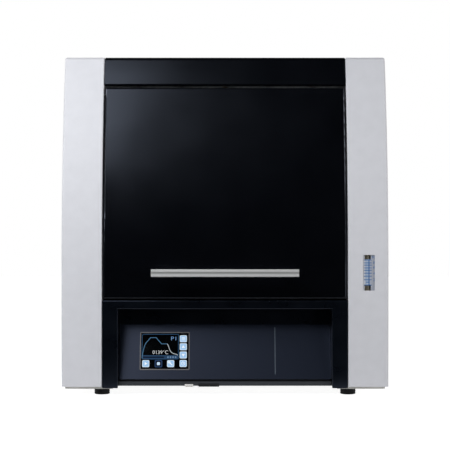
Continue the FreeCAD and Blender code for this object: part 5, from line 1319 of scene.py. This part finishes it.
STAGE_REACH = 6.0
WORLD_FILL = 0.375
WORLD_FILL_ABOVE = 0.06
# Height of a direction, as a share of straight up, from which on the fill is at its weakest
WORLD_FADE_END = 0.8
FLOOR_GLOW = 0.90
FLAG_RADIUS = 3.4
FLAG_HEIGHT = 3.6
FLAG_HALF_WIDTH = 2.6
FLAG_REACH_BEHIND = 2.4
FLAG_REACH_DEGREES = 78.0
FLAG_GAP = 0.03
FLAG_LIFT = 0.002
WHITE = (1.0, 1.0, 1.0)
COOL = (0.88, 0.94, 1.0)
# Each soft box: its name, its place and its target, its width and height (all in metres), its power in watts
# and its colour
SOFT_BOXES = (
    ("sheen_box", (-0.71, -1.60, 1.43), (-0.10, -0.20, 0.36), (0.80, 1.00), 8.8, COOL),
    ("key_box", (-0.80, -0.88, 0.92), (-0.25, -0.20, 0.50), (0.50, 0.50), 4.4, WHITE),
    ("panel_box", (-0.72, -1.70, 1.30), (-0.05, -0.20, 0.06), (0.40, 0.30), 4.2, COOL),
    ("edge_box", (1.60, -0.60, 0.70), (0.26, -0.15, 0.30), (0.60, 0.90), 5.5, WHITE),
    ("fill_box", (1.10, -1.50, 0.30), (0.25, -0.23, 0.22), (0.60, 0.40), 2.2, WHITE),
)


def seen_directly(tree):
    """1 for a ray from the camera, off a glossy surface or through a clear one, and 0 for the light."""
    either = add(tree, "Math", {
        0: add(tree, "LightPath", output="Is Camera Ray"), 1: add(tree, "LightPath", output="Is Glossy Ray")},
        operation="MAXIMUM")
    return add(tree, "Math", {
        0: either, 1: add(tree, "LightPath", output="Is Transmission Ray")}, operation="MAXIMUM")


def make_world(scene):
    """White to the eye; as light an even fill that fades towards the zenith."""
    world = bpy.data.worlds.new("studio")
    scene.world = world
    world.use_nodes = True
    tree = world.node_tree
    tree.nodes.clear()
    rise = add(tree, "SeparateXYZ", {"Vector": add(tree, "TexCoord", output="Generated")}, "Z")
    fill = add(tree, "MapRange", {
        "Value": rise, "From Max": WORLD_FADE_END, "To Min": WORLD_FILL, "To Max": WORLD_FILL_ABOVE})
    strength = add(tree, "MapRange", {"Value": seen_directly(tree), "To Min": fill, "To Max": 1.0})
    light = add(tree, "Background", {"Color": rgba("#ffffff"), "Strength": strength})
    add(tree, "OutputWorld", {"Surface": light})


def stage_piece(name, points, material):
    """A sheet that belongs to the studio."""
    piece = placed(name, as_mesh(name, *grid(points), material))
    return piece


def level_sheet(x0, x1, y0, y1, z):
    """Four corners of a flat sheet at one height."""
    return np.array([[(x0, y0, z), (x1, y0, z)], [(x0, y1, z), (x1, y1, z)]])


def make_floor():
    """A level sheet under the feet."""
    far = STAGE_REACH
    stage_piece("floor", level_sheet(-far, far, -far, far, 0.0), finish("studio_floor"))


def only_in_gloss(piece):
    """Makes a sheet a black flag: glossy surfaces mirror it, and nothing else meets it."""
    for ray in ("camera", "diffuse", "transmission", "volume_scatter", "shadow"):
        setattr(piece, "visible_" + ray, False)


def make_flags():
    """A curved black wall in front, radius * (sin a, -cos a), a black sheet over the object, and one on the
    floor before it."""
    cloth = finish("studio_cloth")
    side = FLAG_HALF_WIDTH
    near = cad_box[0][1] - FLAG_GAP
    angle = radians(FLAG_REACH_DEGREES) * np.linspace(-1.0, 1.0, 25)
    x, y = FLAG_RADIUS * np.sin(angle), -FLAG_RADIUS * np.cos(angle)
    wall = np.stack([np.stack([x, y, np.full(len(x), z)], axis=1) for z in (0.0, FLAG_HEIGHT)])
    for name, points in (
            ("front_flag", wall),
            ("top_flag", level_sheet(-side, side, -FLAG_RADIUS, FLAG_REACH_BEHIND, FLAG_HEIGHT)),
            ("floor_flag", level_sheet(-side, side, -FLAG_RADIUS, near, FLAG_LIFT))):
        only_in_gloss(stage_piece(name, points, cloth))


def make_lamps():
    """Hangs each soft box at its place and turns it to its target."""
    for name, place, target, (width, height), power, colour in SOFT_BOXES:
        light = bpy.data.lights.new(name, "AREA")
        light.shape = "RECTANGLE"
        light.size = width
        light.size_y = height
        light.energy = power
        light.color = colour
        lamp = placed(name, light)
        lamp.location = place
        lamp.rotation_euler = (Vector(target) - Vector(place)).to_track_quat("-Z", "Y").to_euler()


def make_camera(scene):
    """A level camera straight in front of the covers, at the photograph's viewing angle."""
    lens = bpy.data.cameras.new("front_camera")
    lens.sensor_width = SENSOR_MM
    lens.lens = FOCAL_LENGTH_PX * SENSOR_MM / IMAGE_PX
    camera = placed("front_camera", lens)
    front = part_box("left_side_cover")[0].y
    camera.location = (0.0, front - CAMERA_DISTANCE, CAMERA_HEIGHT)
    camera.rotation_euler = (pi / 2.0, 0.0, 0.0)
    scene.camera = camera


class FURNACE_OT_stage(bpy.types.Operator):
    """Sets the pale floor, the soft light and the camera"""
    bl_idname = "furnace.stage"
    bl_label = "Stage"

    def execute(self, context):
        scene = context.scene
        scene.view_settings.view_transform = "Standard"
        make_camera(scene)
        make_world(scene)
        make_floor()
        make_flags()
        make_lamps()
        return {"FINISHED"}


class FURNACE_PT_panel(bpy.types.Panel):
    """Lists the operators, the colours and the sizes in the 3D view's sidebar"""
    bl_label = "Furnace"
    bl_space_type = "VIEW_3D"
    bl_region_type = "UI"
    bl_category = "Furnace"

    def draw(self, context):
        for operator in OPERATORS:
            self.layout.operator(operator.bl_idname)
        for group in (context.scene.furnace_colours, context.scene.furnace_sizes):
            for name in group.bl_rna.properties.keys():
                if name not in ("rna_type", "name"):
                    self.layout.prop(group, name)


OPERATORS = (
    FURNACE_OT_stage, FURNACE_OT_housing_finishes, FURNACE_OT_control_finishes, FURNACE_OT_hot_box_finishes,
    FURNACE_OT_gas_line_finishes, FURNACE_OT_electric_finishes, FURNACE_OT_display, FURNACE_OT_panel_trim,
    FURNACE_OT_panel_seals, FURNACE_OT_sill_fittings, FURNACE_OT_flow_meter, FURNACE_OT_feet,
    FURNACE_OT_screws, FURNACE_OT_door_rivets, FURNACE_OT_rope_seal, FURNACE_OT_fan, FURNACE_OT_mains_details,
    FURNACE_OT_gas_fitting)
CLASSES = (FurnaceColours, FurnaceSizes, *OPERATORS, FURNACE_PT_panel)


def register():
    """Adds the classes, and the colours and sizes to the scene."""
    for cls in CLASSES:
        bpy.utils.register_class(cls)
    bpy.types.Scene.furnace_colours = bpy.props.PointerProperty(type=FurnaceColours)
    bpy.types.Scene.furnace_sizes = bpy.props.PointerProperty(type=FurnaceSizes)


def unregister():
    """Takes away what register adds."""
    del bpy.types.Scene.furnace_sizes
    del bpy.types.Scene.furnace_colours
    for cls in reversed(CLASSES):
        bpy.utils.unregister_class(cls)


def main():
    """Registers the classes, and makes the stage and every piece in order."""
    register()
    for operator in OPERATORS:
        group, name = operator.bl_idname.split(".")
        getattr(getattr(bpy.ops, group), name)()


if __name__ == "__main__":
    main()
